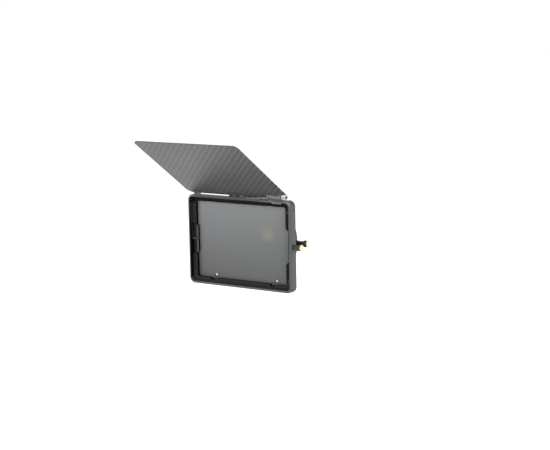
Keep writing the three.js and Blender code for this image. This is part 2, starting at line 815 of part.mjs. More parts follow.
function bracket(span, radius, plate, plateEnd, bore, screws) {
  const solid = join(
    rod("x", radius, span, [0, 0]),
    block(span, [-plateEnd, bracketBack - radius], [bracketBottom, Math.min(bracketTop, radius)]),
    block(plate, [-plateEnd, -radius - notchClear], [bracketBottom, bracketTop]),
  );
  const tools = screws.flatMap(([x, reach]) => screwHole(flagScrew, "z", 1, bracketTop, [x, -reach]));
  tools.push(rod("x", bore + gap / 2, [span[0] - overrun, span[1] + overrun], [0, 0]));
  return cut(solid, ...tools);
}

// Spring fingers: a wire that leans to the right from its root in the lower notch, with a polished ball
function springFinger(side) {
  const root = new THREE.Vector3(side * notchX, fingerDepth, fingerRootZ - fingerRootLength);
  const tip = new THREE.Vector3(side * notchX + fingerLean, fingerDepth, fingerRootZ + fingerRise);
  const foot = root.clone().setZ(fingerRootZ + fingerRootRadius);
  const route = new THREE.CatmullRomCurve3([root, foot, tip]);
  const section = new THREE.Shape();
  section.absarc(0, 0, fingerRadius, 0, 2 * Math.PI);
  const wire = new THREE.ExtrudeGeometry(section, {
    steps: fingerSteps,
    curveSegments: fingerFacets,
    bevelEnabled: false,
    extrudePath: route,
  });
  const ball = new THREE.SphereGeometry(ballRadius, headFacets, shankFacets).translate(tip.x, tip.y, tip.z);
  const rootSpan = [fingerRootZ - fingerRootLength, fingerRootZ - seam];
  const plug = rod("z", fingerRootRadius, rootSpan, [side * notchX, fingerDepth], shankFacets);
  return join(wire, ball, plug);
}

// Pads
const leftPadFace = -filterWidth / 2 - gap;
const springEnds = -rimInnerX + gap / 2;
const springCrown = springEnds + springThickness + springBow;
const springDepth = [guidePinDepth + guidePinRadius + gap, ledgeBack - gap];

function leftPad() {
  const back = leftPadFace - leftPadThickness;
  const lip = -apertureHalfWidth + leftPadLip;
  const outline = polygon([
    [back, -padHalfLength],
    [lip - leftPadBevel, -padHalfLength],
    [lip, -padHalfLength + leftPadBevel],
    [lip, padHalfLength - leftPadBevel],
    [lip - leftPadBevel, padHalfLength],
    [back, padHalfLength],
  ]);
  return cut(
    pushedBack(outline, [padFront, padBack]),
    // Room for the glass behind the lip
    block([leftPadFace, lip + overrun], [ledgeBack - gap, padBack + overrun], [-halfHeight, halfHeight]),
    // Behind the ledge the pad is thinner, because the stage's wall is nearer
    block(
      [back - overrun, leftPadTravel + gap - recessBackX],
      [ledgeBack - gap, padBack + overrun],
      [-halfHeight, halfHeight],
    ),
    // The groove that runs along the guide pin
    rod("x", guidePinRadius + gap, [back - overrun, lip + overrun], [guidePinDepth, 0]),
    // The pocket over the spring, deep enough for the whole travel
    block(
      [back - overrun, springCrown + leftPadTravel + gap / 2],
      [springDepth[0] - gap, springDepth[1] + gap],
      [-springHalfLength - gap, springHalfLength + gap],
    ),
  );
}

function leftPadSpring() {
  // A bowed leaf whose ends bear on the rim
  const shape = new THREE.Shape();
  const face = springEnds + springThickness;
  shape.moveTo(springEnds, -springHalfLength);
  shape.quadraticCurveTo(springEnds + 2 * springBow, 0, springEnds, springHalfLength);
  shape.lineTo(face, springHalfLength);
  shape.quadraticCurveTo(face + 2 * springBow, 0, face, -springHalfLength);
  return pushedBack(shape, springDepth);
}

const rightPadFace = filterWidth / 2 + rightPadRest;
const rightPadBackX = rightPadFace + rightPadThickness;

function rightPad() {
  const outline = polygon([
    [rightPadFace, -padHalfLength + rightPadBevel],
    [rightPadFace + rightPadBevel, -padHalfLength],
    [rightPadBackX, -padHalfLength],
    [rightPadBackX, padHalfLength],
    [rightPadFace + rightPadBevel, padHalfLength],
    [rightPadFace, padHalfLength - rightPadBevel],
  ]);
  const tipHole = [rightPadBackX - lockTipLength - gap, rightPadBackX + overrun];
  return cut(
    pushedBack(outline, [padFront, padBack]),
    rod("x", lockTipRadius + gap / 2, tipHole, [lockDepth, 0], shankFacets),
  );
}

// Assembly

place(body, "front_frame", bezel(), anodised);
place(body, "filter_channel", filterChannel(), anodised);
place(body, "rear_plate", rearPlate(), anodised);
place(body, "lens_clamp", lensClamp(), anodised);

const seal = tube(
  "y",
  sealOuter,
  sealInner,
  [lensStop - sealThickness, lensStop - seam],
  [0, 0],
  windowFacets,
);
place(body, "light_seal", seal, rubber);

const glassSheet = block(
  [-filterWidth / 2, filterWidth / 2],
  [filterFront, filterBack],
  [-filterHeight / 2, filterHeight / 2],
);
place(body, "filter_glass", glassSheet, glass);

for (const [name, side] of [["left", -1], ["right", 1]]) {
  const rest = block(
    [side * notchX - bumperHalfWidth, side * notchX + bumperHalfWidth],
    [filterFront, filterBack],
    [slotFloor + seam, slotFloor + seam + bumperThickness],
  );
  place(body, `filter_bumper_${name}`, rest, rubber);
  place(body, `retainer_spring_${name}`, springFinger(side), chromed);
  const plugEnds = ordered(side * halfWidth, side * (halfWidth - sidePlugLength));
  const plugSocket = ordered(side * (halfWidth + overrun), side * (halfWidth - sidePlugLength / 2));
  const plug = cut(
    rod("x", sidePlugRadius, plugEnds, [sidePlugDepth, sidePlugZ], headFacets),
    rod("x", sidePlugRadius * socketShare, plugSocket, [sidePlugDepth, sidePlugZ], socketSides),
  );
  place(body, `side_plug_${name}`, plug, blackSteel);
}

place(body, "left_pad", leftPad(), blackPlastic);
place(body, "left_pad_spring", leftPadSpring(), steel);
const pinSpan = [-rimInnerX - guidePinBury, -apertureHalfWidth];
place(body, "left_guide_pin", rod("x", guidePinRadius, pinSpan, [guidePinDepth, 0]), blackSteel);
place(body, "right_pad", rightPad(), blackPlastic);

const lockSpot = [lockDepth, 0];
const bushingSeat = halfWidth - bushingRecess + seam;
const bushing = cut(
  join(
    rod("x", bushingRadius, [rimInnerX, bushingSeat + bushingFlangeThickness / 2], lockSpot),
    rod("x", bushingFlangeRadius, [bushingSeat, bushingSeat + bushingFlangeThickness], lockSpot),
  ),
  rod("x", lockScrewRadius + gap / 2, [rimInnerX - overrun, halfWidth + overrun], lockSpot),
);
place(body, "lock_bushing", bushing, blackSteel);

const lockTipSpan = [rightPadBackX - lockTipLength, lockNeckStart - 2 * seam];
const lockShank = join(
  rod("x", lockScrewRadius, [rightPadBackX + gap, lockNeckStart - seam], lockSpot),
  rod("x", lockTipRadius, lockTipSpan, lockSpot, shankFacets),
);
place(body, "lock_screw", lockShank, steel);
const lockKnob = knob(
  lockNeckRadius,
  lockHeadRadius,
  [lockNeckStart, lockHeadStart, lockHeadStart + lockHeadLength],
  knobBevel,
).translate(0, lockDepth, 0);
place(body, "lock_knob", lockKnob, brass);

place(body, "clamp_shoe", clampShoe(), blackPlastic);
const insertStart = socketRadius + shoeThickness + 2 * gap;
const insert = tube(
  "x",
  insertRadius,
  clampScrewRadius + gap / 2,
  [insertStart, clampBossEnd],
  [shoeDepth, 0],
);
place(body, "clamp_insert", insert, brass);
const clampScrewSpan = [socketRadius + shoeThickness + gap, clampNeckStart - seam];
place(body, "clamp_screw", rod("x", clampScrewRadius, clampScrewSpan, [shoeDepth, 0]), steel);
const clampKnob = knob(
  clampNeckRadius,
  clampHeadRadius,
  [clampNeckStart, clampHeadStart, clampHeadStart + clampHeadLength],
  knobBevel,
).translate(0, shoeDepth, 0);
place(body, "clamp_knob", clampKnob, brass);

frameScrewPlaces.forEach((spot, i) => {
  place(body, `frame_screw_${i + 1}`, screw(frameScrew, "y", 1, frameScrewSeat, spot), blackSteel);
});
flangeScrewPlaces.forEach((spot, i) => {
  place(body, `flange_screw_${i + 1}`, screw(flangeScrew, "y", 1, flangeScrewSeat, spot), blackSteel);
});
let ledgeCount = 0;
for (const end of [-1, 1]) {
  for (const side of [-1, 1]) {
    ledgeCount += 1;
    const spot = [side * ledgeMiddleX, end * ledgeScrewZ];
    const seat = pocketDepth + ledgeScrew.height;
    place(body, `ledge_screw_${ledgeCount}`, screw(ledgeScrew, "y", -1, seat, spot, true), blackSteel);
  }
}

const flagGroup = new THREE.Group();
flagGroup.position.set(0, hingeDepth, hingeZ);
flagGroup.rotation.x = -THREE.MathUtils.degToRad(flagTilt);
body.add(flagGroup);

place(flagGroup, "flag", flagPlate(), carbon);
for (const hinge of plainHinges) {
  place(body, `hinge_base_${hinge.name}`, plainBase(hinge), anodised);
  const pinEnds = [
    hinge.knuckle[0] - gap - earThickness,
    hinge.knuckle[1] + gap + earThickness,
  ];
  place(body, `hinge_pin_${hinge.name}`, rod("x", pinRadius, pinEnds, hingeSpot, headFacets), steel);
  const { knuckle, plate, flagScrews } = hinge;
  const leaf = bracket(knuckle, knuckleRadius, plate, plainPlateEnd, pinRadius, flagScrews);
  place(flagGroup, `flag_bracket_${hinge.name}`, leaf, anodised);
  hinge.screws.forEach((x, i) => {
    place(body, `hinge_screw_${hinge.name}_${i + 1}`, baseScrew(x, footThickness), blackSteel);
  });
}
place(body, "hinge_base_right", rightBase(), anodised);
rightBaseScrews.forEach((x, i) => {
  place(body, `hinge_screw_right_${i + 1}`, baseScrew(x, baseThickness), blackSteel);
});
const barrel = bracket(barrelSpan, barrelRadius, rightPlate, rightPlateEnd, axleRadius, rightFlagScrews);
place(flagGroup, "hinge_barrel_right", barrel, anodised);

const axle = join(
  rod("x", axleRadius, [rightEars[0][0] - 2 * seam, knobStart + knobBoreDepth], hingeSpot),
  rod("x", axleHeadRadius, [axleHeadStart, rightEars[0][0] - seam], hingeSpot),
);
place(body, "hinge_axle_right", axle, steel);
const washer = tube(
  "x",
  washerRadius,
  axleRadius + gap / 2,
  [washerStart, washerStart + washerThickness],
  hingeSpot,
);
place(body, "friction_washer", washer, steel);
const knobEnd = knobStart + knobSpan;
const knobSocketRadius = knobRadius * socketShare;
const tensionKnob = cut(
  knob(knobRadius, knobRadius, [knobStart, knobStart, knobEnd], knobBevel).translate(0, ...hingeSpot),
  rod("x", axleRadius + gap / 2, [knobStart - overrun, knobStart + knobBoreDepth + gap], hingeSpot),
  rod("x", knobSocketRadius, [knobEnd - knobSocketRadius, knobEnd + overrun], hingeSpot, socketSides),
);
place(body, "tension_knob", tensionKnob, chromed);

flagScrewPlaces.forEach(([x, reach], i) => {
  const seat = bracketTop - flagScrew.height;
  place(flagGroup, `flag_screw_${i + 1}`, screw(flagScrew, "z", 1, seat, [x, -reach], true), blackSteel);
});

const matteBox = new THREE.Group();
matteBox.add(body);

export default matteBox;
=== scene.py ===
# Dresses the matte box: finishes, softened edges, knurls, screws, spring wires, light and camera
import json
import math
import bmesh
import bpy
from mathutils import Matrix, Vector


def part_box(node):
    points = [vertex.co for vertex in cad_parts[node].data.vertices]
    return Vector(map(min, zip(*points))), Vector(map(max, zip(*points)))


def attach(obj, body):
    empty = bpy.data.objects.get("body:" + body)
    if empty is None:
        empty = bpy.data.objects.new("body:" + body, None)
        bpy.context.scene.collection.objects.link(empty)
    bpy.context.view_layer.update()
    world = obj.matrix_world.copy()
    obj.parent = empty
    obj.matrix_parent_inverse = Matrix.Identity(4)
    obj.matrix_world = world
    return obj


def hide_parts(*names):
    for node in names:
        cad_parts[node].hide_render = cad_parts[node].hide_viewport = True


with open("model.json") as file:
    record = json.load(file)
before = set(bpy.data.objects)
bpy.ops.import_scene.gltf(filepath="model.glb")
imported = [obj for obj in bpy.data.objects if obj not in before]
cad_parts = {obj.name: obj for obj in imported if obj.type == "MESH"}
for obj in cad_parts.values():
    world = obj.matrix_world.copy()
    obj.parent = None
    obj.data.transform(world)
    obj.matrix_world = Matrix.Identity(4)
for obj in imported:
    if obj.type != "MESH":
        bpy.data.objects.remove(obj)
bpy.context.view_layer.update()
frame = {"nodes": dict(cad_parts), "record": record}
nodes = frame["nodes"]
mm = 0.001
print("frame loaded,", len(nodes), "nodes")


# Shader and geometry trees

class Wire:  # a socket that can take part in sums
    def __init__(self, graph, socket):
        self.graph = graph
        self.socket = socket

    def __add__(self, other):
        return self.graph.maths("ADD", self, other)

    def __radd__(self, other):
        return self.graph.maths("ADD", other, self)

    def __sub__(self, other):
        return self.graph.maths("SUBTRACT", self, other)

    def __rsub__(self, other):
        return self.graph.maths("SUBTRACT", other, self)

    def __mul__(self, other):
        return self.graph.maths("MULTIPLY", self, other)

    def __rmul__(self, other):
        return self.graph.maths("MULTIPLY", other, self)

    def __truediv__(self, other):
        return self.graph.maths("DIVIDE", self, other)

    def __rtruediv__(self, other):
        return self.graph.maths("DIVIDE", other, self)

    def __pow__(self, other):
        return self.graph.maths("POWER", self, other)

    def __mod__(self, other):
        return self.graph.maths("FLOORED_MODULO", self, other)

    def __lt__(self, other):
        return self.graph.maths("LESS_THAN", self, other)

    def __gt__(self, other):
        return self.graph.maths("GREATER_THAN", self, other)

    def __abs__(self):
        return self.graph.maths("ABSOLUTE", self)

    def floor(self):
        return self.graph.maths("FLOOR", self)

    def root(self):
        return self.graph.maths("SQRT", self)

    def atLeast(self, other):
        return self.graph.maths("MAXIMUM", self, other)

    def atMost(self, other):
        return self.graph.maths("MINIMUM", self, other)


class Graph:  # a node tree, filled through one method
    def __init__(self, tree):
        self.tree = tree
        tree.nodes.clear()

    def add(self, kind, settings=None, values=None, out=0):
        node = self.tree.nodes.new(kind)
        for key, value in (settings or {}).items():
            setattr(node, key, value)
        for key, value in (values or {}).items():
            socket = node.inputs[key]
            if isinstance(value, Wire):
                self.tree.links.new(value.socket, socket)
            else:
                socket.default_value = value
        return Wire(self, node.outputs[out]) if node.outputs else node

    def other(self, wire, out):  # another output of the node that a wire comes from
        return Wire(self, wire.socket.node.outputs[out])

    def maths(self, operation, *terms):
        return self.add("ShaderNodeMath", {"operation": operation}, dict(enumerate(terms)))

    def mix(self, factor, first, second):  # two colours
        settings = {"data_type": "RGBA", "clamp_factor": True}
        return self.add("ShaderNodeMix", settings, {0: factor, 6: first, 7: second}, 2)

    def seen(self):  # 1 for rays from the camera, also by way of a mirror or a glass
        ray = self.add("ShaderNodeLightPath", out="Is Camera Ray")
        glossy, clear = self.other(ray, "Is Glossy Ray"), self.other(ray, "Is Transmission Ray")
        return ray.atLeast(glossy).atLeast(clear)


class Finish(Graph):  # the tree of one material
    def __init__(self, name):
        self.material = bpy.data.materials.new(name)
        self.material.use_nodes = True
        super().__init__(self.material.node_tree)
        self.place = self.add("ShaderNodeTexCoord", out="Object")

    def axes(self):
        x = self.add("ShaderNodeSeparateXYZ", {}, {0: self.place}, "X")
        return x, self.other(x, "Y"), self.other(x, "Z")

    def along(self, direction):
        settings = {"operation": "DOT_PRODUCT"}
        return self.add("ShaderNodeVectorMath", settings, {0: self.place, 1: direction}, "Value")

    def noise(self, scale, detail=2.0, rough=0.5, stretch=None, turn=(0, 0, 0)):
        where = self.place
        if stretch:
            where = self.add("ShaderNodeMapping", {}, {"Vector": where, "Rotation": turn, "Scale": stretch})
        values = {"Vector": where, "Scale": scale, "Detail": detail, "Roughness": rough}
        return self.add("ShaderNodeTexNoise", {"noise_dimensions": "3D"}, values, "Fac")

    def bump(self, height, distance, strength=1.0, over=None):
        values = {"Height": height, "Distance": distance, "Strength": strength}
        if over is not None:
            values["Normal"] = over
        return self.add("ShaderNodeBump", {}, values)

    def surface(self, **values):
        sockets = {key.replace("_", " "): value for key, value in values.items()}
        shader = self.add("ShaderNodeBsdfPrincipled", {}, sockets)
        self.add("ShaderNodeOutputMaterial", {}, {"Surface": shader})
        return self.material


def grey(value):
    return (value, value, value, 1)


# Finishes

anodisedLook = {
    "dark": (0.033, 0.034, 0.035, 1), "light": (0.044, 0.045, 0.046, 1),
    "cloud": 45, "grain": 5200, "grainDepth": 0.02 * mm,
    "rough": 0.44, "roughSpread": 0.10, "specular": 0.30,
}
pocketShadeAndLightLook = {  # the dull black inside of the bezel
    "dark": (0.0235, 0.0250, 0.0256, 1), "light": (0.0325, 0.0340, 0.0348, 1),
    "cloud": 60, "grain": 3600, "grainDepth": 0.03 * mm,
    "rough": 0.62, "roughSpread": 0.10, "specular": 0.16,
    # painted shade, deeper black at the right and the top; painted light, paler at the bottom: axis, start,
    # where it is full, colour
    "paintedBands": [
        (0, 66 * mm, 69 * mm, (0.002, 0.0022, 0.0023, 1)),
        (2, 45 * mm, 48 * mm, (0.002, 0.0022, 0.0023, 1)),
        (2, -44 * mm, -47 * mm, (0.036, 0.037, 0.038, 1)),
    ],
}
# near black as painted shade: the window's walls, the right pad and the left pad's end
wellShadeLook = {  # the walls of the window itself
    "dark": (0.0020, 0.0022, 0.0023, 1), "light": (0.0038, 0.0040, 0.0041, 1),
    "cloud": 60, "grain": 3600, "grainDepth": 0.03 * mm,
    "rough": 0.75, "roughSpread": 0.10, "specular": 0.06,
}
chamferHighlightLook = {  # a painted highlight: paler and smoother than the shell
    "dark": (0.076, 0.079, 0.080, 1), "light": (0.098, 0.101, 0.102, 1),
    "cloud": 80, "grain": 6200, "grainDepth": 0.008 * mm,
    "rough": 0.38, "roughSpread": 0.08, "specular": 0.45,
    "paintedBands": [(2, 51 * mm, 54 * mm, (0.220, 0.225, 0.226, 1))],  # painted light: palest along the top
}
sideLightLook = {  # the outer sides, paler as painted light
    "dark": (0.056, 0.058, 0.059, 1), "light": (0.072, 0.074, 0.075, 1),
    "cloud": 45, "grain": 5200, "grainDepth": 0.02 * mm,
    "rough": 0.42, "roughSpread": 0.10, "specular": 0.40,
}
# painted light: the right barrel and the side hinge bases are a paler grey than the black shell, for the
# light that falls on them
barrelLightLook = {
    "dark": (0.250, 0.255, 0.256, 1), "light": (0.300, 0.305, 0.306, 1),
    "cloud": 120, "grain": 5200, "grainDepth": 0.010 * mm,
    "rough": 0.34, "roughSpread": 0.08, "specular": 0.5,
}
hingeLightLook = {
    "dark": (0.165, 0.169, 0.170, 1), "light": (0.210, 0.214, 0.215, 1),
    "cloud": 120, "grain": 5200, "grainDepth": 0.010 * mm,
    "rough": 0.36, "roughSpread": 0.08, "specular": 0.5,
}


def blastedBlack(name, look):
    # a fine grain under slow clouds of tone, with bands of painted light and shade where the look has them
    finish = Finish(name)
    cloud = finish.noise(look["cloud"], 3)
    grain = finish.noise(look["grain"], 1)
    tone = finish.mix(cloud, look["dark"], look["light"])
    for axis, start, full, colour in look.get("paintedBands", []):
        tone = finish.mix((finish.axes()[axis] - start) / (full - start), tone, colour)
    return finish.surface(
        Base_Color=tone,
        Roughness=look["rough"] + (cloud - 0.5) * look["roughSpread"],
        Specular_IOR_Level=look["specular"],
        Normal=finish.bump(grain, look["grainDepth"]),
    )


plasticLook = {
    "dark": (0.007, 0.0075, 0.0077, 1), "light": (0.011, 0.0117, 0.012, 1),
    "cloud": 90, "grain": 2600, "grainDepth": 0.03 * mm,
    "rough": 0.50, "roughSpread": 0.12, "specular": 0.2,
}
oxideLook = {
    "dark": (0.012, 0.012, 0.013, 1), "light": (0.022, 0.022, 0.024, 1),
    "cloud": 700, "grain": 4200, "grainDepth": 0.012 * mm,
    "rough": 0.34, "roughSpread": 0.16, "specular": 0.6,
}
rubberLook = {
    "dark": (0.010, 0.010, 0.010, 1), "light": (0.018, 0.018, 0.018, 1),
    "cloud": 260, "grain": 1500, "grainDepth": 0.08 * mm,
    "rough": 0.85, "roughSpread": 0.1, "specular": 0.25,
}

carbonLook = {
    "tow": 2.2 * mm,  # width of one tow
    "tilt": 34.5,  # of the sheet, in degrees above level
    # warp and weft: tones of the two tow directions, the difference between them a painted sheen
    "warp": 0.108, "weft": 0.046, "gap": 0.020, "tint": {"Red": 1.0, "Green": 1.01, "Blue": 1.03},
    "faintest": 0.3,  # painted sheen: contrast of the weave at the left end, of that at the right
    "dip": 0.6,  # of a tow towards the ends of its float, of its height
    "fibre": 0.4, "fibreAlong": 260, "fibreAcross": 9000, "cloud": 28, "clouding": 0.3,
    "towDepth": 0.05 * mm, "towBump": 0.8, "fibreDepth": 0.010 * mm, "fibreBump": 0.6,
    "rough": 0.44, "weftRough": 0.05, "roughSpread": 0.10, "coat": 0.24, "coatRough": 0.34,
}


def twillCarbon(name, look):
    # a twill that goes over two tows and under two, so it repeats after four
    repeat, over = 4, 2
    finish = Finish(name)
    tilt = math.radians(look["tilt"])
    x = finish.axes()[0]
    u = x / look["tow"]
    v = finish.along((0, -math.cos(tilt), math.sin(tilt))) / look["tow"]
    column = u.floor()
    row = v.floor()
    onTop = (column - row) % repeat < over  # the lengthwise tow lies over the cross one
    warpSide = abs((u - column) * 2 - 1)
    weftSide = abs((v - row) * 2 - 1)
    warpRun = abs((v - column + 1) % repeat - 1)
    weftRun = abs((u - row - over) % repeat - 1)
    warpHigh = (1 - warpSide * warpSide) * (1 - look["dip"] * warpRun * warpRun)
    weftHigh = (1 - weftSide * weftSide) * (1 - look["dip"] * weftRun * weftRun)
    height = weftHigh + (warpHigh - weftHigh) * onTop
    turn = (tilt, 0, 0)
    lengthwise, crosswise = look["fibreAlong"], look["fibreAcross"]
    warpFibre = finish.noise(1, 2, stretch=(crosswise, lengthwise, lengthwise), turn=turn)
    weftFibre = finish.noise(1, 2, stretch=(lengthwise, crosswise, crosswise), turn=turn)
    fibre = weftFibre + (warpFibre - weftFibre) * onTop
    cloud = finish.noise(look["cloud"], 2)
    low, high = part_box("flag")
    across = (x - low[0]) / (high[0] - low[0])
    contrast = look["faintest"] + (1 - look["faintest"]) * across
    # painted sheen: the two tow directions differ in tone, less so towards the left end
    middle, half = (look["warp"] + look["weft"]) / 2, (look["warp"] - look["weft"]) / 2
    tone = middle + half * (onTop * 2 - 1) * contrast
    tone = tone * (1 + (fibre - 0.5) * look["fibre"]) * (1 + (cloud - 0.5) * look["clouding"])
    tone = look["gap"] + (tone - look["gap"]) * height.root()
    channels = {channel: tone * share for channel, share in look["tint"].items()}
    towBump = finish.bump(height, look["towDepth"], look["towBump"])
    return finish.surface(
        Base_Color=finish.add("ShaderNodeCombineColor", {}, channels),
        Roughness=look["rough"] + (1 - onTop) * look["weftRough"] + (cloud - 0.5) * look["roughSpread"],
        Coat_Weight=look["coat"],
        Coat_Roughness=look["coatRough"],
        Normal=finish.bump(fibre, look["fibreDepth"], look["fibreBump"], towBump),
    )


glassLook = {
    "top": (0.410, 0.418, 0.428, 1), "bottom": (0.164, 0.166, 0.171, 1),
    "greenish": (0.225, 0.236, 0.220, 1), "share": 0.35, "bend": 1.5,
    "cloud": 9, "clouding": 0.1, "greenClouding": 0.4,
    "reflectionSpot": (0.330, 0.345, 0.285, 1), "reflectionSpotShare": 0.9,  # a painted reflection: an olive spot, placed by x and z
    "reflectionSpotAt": (38.9 * mm, 12.9 * mm), "reflectionSpotSize": 11 * mm,
    "rough": 0.30, "smear": 60, "smearing": 0.06, "specular": 0.22,
}


def neutralGlass(name, look):
    # painted reflection: paler towards the top and greener towards the right, with the olive spot over both
    finish = Finish(name)
    low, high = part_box("filter_glass")
    x, _, z = finish.axes()
    rise = ((z - low[2]) / (high[2] - low[2])).atLeast(0) ** look["bend"]
    across = (x - low[0]) / (high[0] - low[0])
    cloud = finish.noise(look["cloud"], 2)
    tone = finish.mix(rise + (cloud - 0.5) * look["clouding"], look["bottom"], look["top"])
    green = across * look["share"] * (1 + (cloud - 0.5) * look["greenClouding"])
    tone = finish.mix(green, tone, look["greenish"])
    aside, above = x - look["reflectionSpotAt"][0], z - look["reflectionSpotAt"][1]
    fromReflectionSpot = (aside * aside + above * above).root() / look["reflectionSpotSize"]
    reflectionSpot = (1 - fromReflectionSpot * fromReflectionSpot).atLeast(0)
    tone = finish.mix(reflectionSpot * look["reflectionSpotShare"], tone, look["reflectionSpot"])
    smear = finish.noise(look["smear"], 4, 0.6)
    return finish.surface(
        Base_Color=tone,
        Roughness=look["rough"] + (smear - 0.5) * look["smearing"],
        Specular_IOR_Level=look["specular"],
    )


brassLook = {  # the turned faces of the knobs
    "deep": (0.60, 0.55, 0.44, 1), "pale": (0.73, 0.69, 0.59, 1),
    "rough": 0.30, "lines": 5200, "lineDepth": 0.010 * mm,
}
knurlShadeBrassLook = {  # their knurls, darkened with painted shade for the dark surroundings that they reflect
    "deep": (0.045, 0.037, 0.026, 1), "pale": (0.16, 0.138, 0.105, 1),
    "rough": 0.34, "lines": 2600, "lineDepth": 0.012 * mm,
}
chromeLook = {
    "deep": (0.42, 0.43, 0.44, 1), "pale": (0.50, 0.51, 0.52, 1),
    "rough": 0.16, "lines": 3500, "lineDepth": 0.006 * mm,
}
ballLook = {
    "deep": (0.90, 0.90, 0.90, 1), "pale": (0.96, 0.96, 0.96, 1),
    "rough": 0.30, "lines": 3500, "lineDepth": 0.002 * mm,
}
steelLook = {
    "deep": (0.33, 0.34, 0.35, 1), "pale": (0.52, 0.53, 0.54, 1),
    "rough": 0.30, "lines": 4200, "lineDepth": 0.012 * mm,
}
metalGrain = {"cloud": 420, "lineRun": 120, "roughSpread": 0.12, "lineBump": 0.7}  # of all five


def turnedMetal(name, look):
    # fine lines round the X axis, as a lathe leaves them
    finish = Finish(name)
    cloud = finish.noise(metalGrain["cloud"], 3)
    lines = finish.noise(1, 1, stretch=(look["lines"], metalGrain["lineRun"], metalGrain["lineRun"]))
    return finish.surface(
        Base_Color=finish.mix(cloud, look["deep"], look["pale"]),
        Metallic=1.0,
        Roughness=look["rough"] + (cloud - 0.5) * metalGrain["roughSpread"],
        Normal=finish.bump(lines, look["lineDepth"], metalGrain["lineBump"]),
    )


finishes = {
    "anodised": blastedBlack("anodisedBlack", anodisedLook),
    "black_plastic": blastedBlack("padPlastic", plasticLook),
    "black_steel": blastedBlack("blackOxide", oxideLook),
    "rubber": blastedBlack("foamRubber", rubberLook),
    "carbon": twillCarbon("twillCarbon", carbonLook),
    "filter_glass": neutralGlass("neutralGlass", glassLook),
    "brass": turnedMetal("polishedBrass", brassLook),
    "chrome": turnedMetal("brightChrome", chromeLook),
    "steel": turnedMetal("turnedSteel", steelLook),
}
# the inside of the bezel, with painted shade at the right and top and painted light at the bottom
pocketBlack = blastedBlack("pocketBlack", pocketShadeAndLightLook)
# painted shade for the window's walls and the pads
wellBlack = blastedBlack("wellBlack", wellShadeLook)
# painted highlight for the chamfers, the ledge's edge, the left pad's lip and the guide pin
paleGrey = blastedBlack("paleGrey", chamferHighlightLook)
agedBrass = turnedMetal("agedBrass", knurlShadeBrassLook)
hingeGrey = blastedBlack("hingeGrey", hingeLightLook)
barrelGrey = blastedBlack("barrelGrey", barrelLightLook)
# painted light on the outer sides
sideGrey = blastedBlack("sideGrey", sideLightLook)
brightChrome = turnedMetal("brightBall", ballLook)
slotOf = {part["node"]: part["material_slot"] for part in frame["record"]["subparts"]}
bodyOf = {}
for bodyName, members in frame["record"]["behaviour"]["bodies"].items():
    for member in members:
        bodyOf[member] = bodyName
for nodeName, thing in nodes.items():
    thing.data.materials.clear()
    thing.data.materials.append(finishes[slotOf[nodeName]])
print("finishes made")


# Mesh helpers

meshLimits = {"weld": 0.002 * mm, "flat": 0.6, "sharp": 32}  # the last two in degrees


def boxOf(nodeName):
    return [Vector(corner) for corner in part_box(nodeName)]


def meshFrom(work, name):
    # ends a bmesh as a new mesh
    mesh = bpy.data.meshes.new(name)
    work.to_mesh(mesh)
    work.free()
    return mesh


def newPiece(name, mesh):
    thing = bpy.data.objects.new(name, mesh)
    bpy.context.scene.collection.objects.link(thing)
    return thing


def settle(thing, standsFor, *looks):
    # gives a finished piece its finishes, its body and the solids that it stands for
    first = standsFor[0]
    thing.data.materials.clear()
    for finish in looks or [finishes[slotOf[first]]]:
        thing.data.materials.append(finish)
    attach(thing, bodyOf[first])
    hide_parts(*standsFor)
    return thing


def paint(mesh, index, test):
    # gives another of its finishes to the faces whose middle and normal pass a test
    for face in mesh.polygons:
        if test(face.center, face.normal):
            face.material_index = index


def bake(thing, name):
    # the evaluated shape as a plain mesh, without the modifiers
    bpy.context.view_layer.update()
    graph = bpy.context.evaluated_depsgraph_get()
    mesh = bpy.data.meshes.new_from_object(thing.evaluated_get(graph))
    bpy.data.objects.remove(thing)
    mesh.name = name
    return newPiece(name, mesh)


def smoothByAngle(mesh, degrees=meshLimits["sharp"]):
    # smooth shading, but for the edges that turn by more
    limit = math.radians(degrees)
    work = bmesh.new()
    work.from_mesh(mesh)
    for face in work.faces:
        face.smooth = True
    for edge in work.edges:
        edge.smooth = len(edge.link_faces) == 2 and edge.calc_face_angle(0) < limit
    work.to_mesh(mesh)
    work.free()


def softened(nodeName, name, width, *looks):
    # a copy of a solid with its sharp edges rounded off
    mesh = nodes[nodeName].data.copy()
    work = bmesh.new()
    work.from_mesh(mesh)
    bmesh.ops.remove_doubles(work, verts=work.verts, dist=meshLimits["weld"])
    flat = math.radians(meshLimits["flat"])
    bmesh.ops.dissolve_limit(work, angle_limit=flat, verts=work.verts, edges=work.edges)
    work.to_mesh(mesh)
    work.free()
    thing = newPiece(name + "Raw", mesh)
    for face in mesh.polygons:
        face.use_smooth = True
    bevel = thing.modifiers.new("edges", "BEVEL")
    bevel.limit_method = "ANGLE"
    bevel.angle_limit = math.radians(meshLimits["sharp"])
    bevel.width = width
    bevel.segments = 2
    bevel.use_clamp_overlap = True
    flats = thing.modifiers.new("flats", "WEIGHTED_NORMAL")  # so that the large faces stay flat
    flats.mode = "FACE_AREA"
    flats.weight = 100
    flats.keep_sharp = True
    return settle(bake(thing, name), [nodeName], *looks)


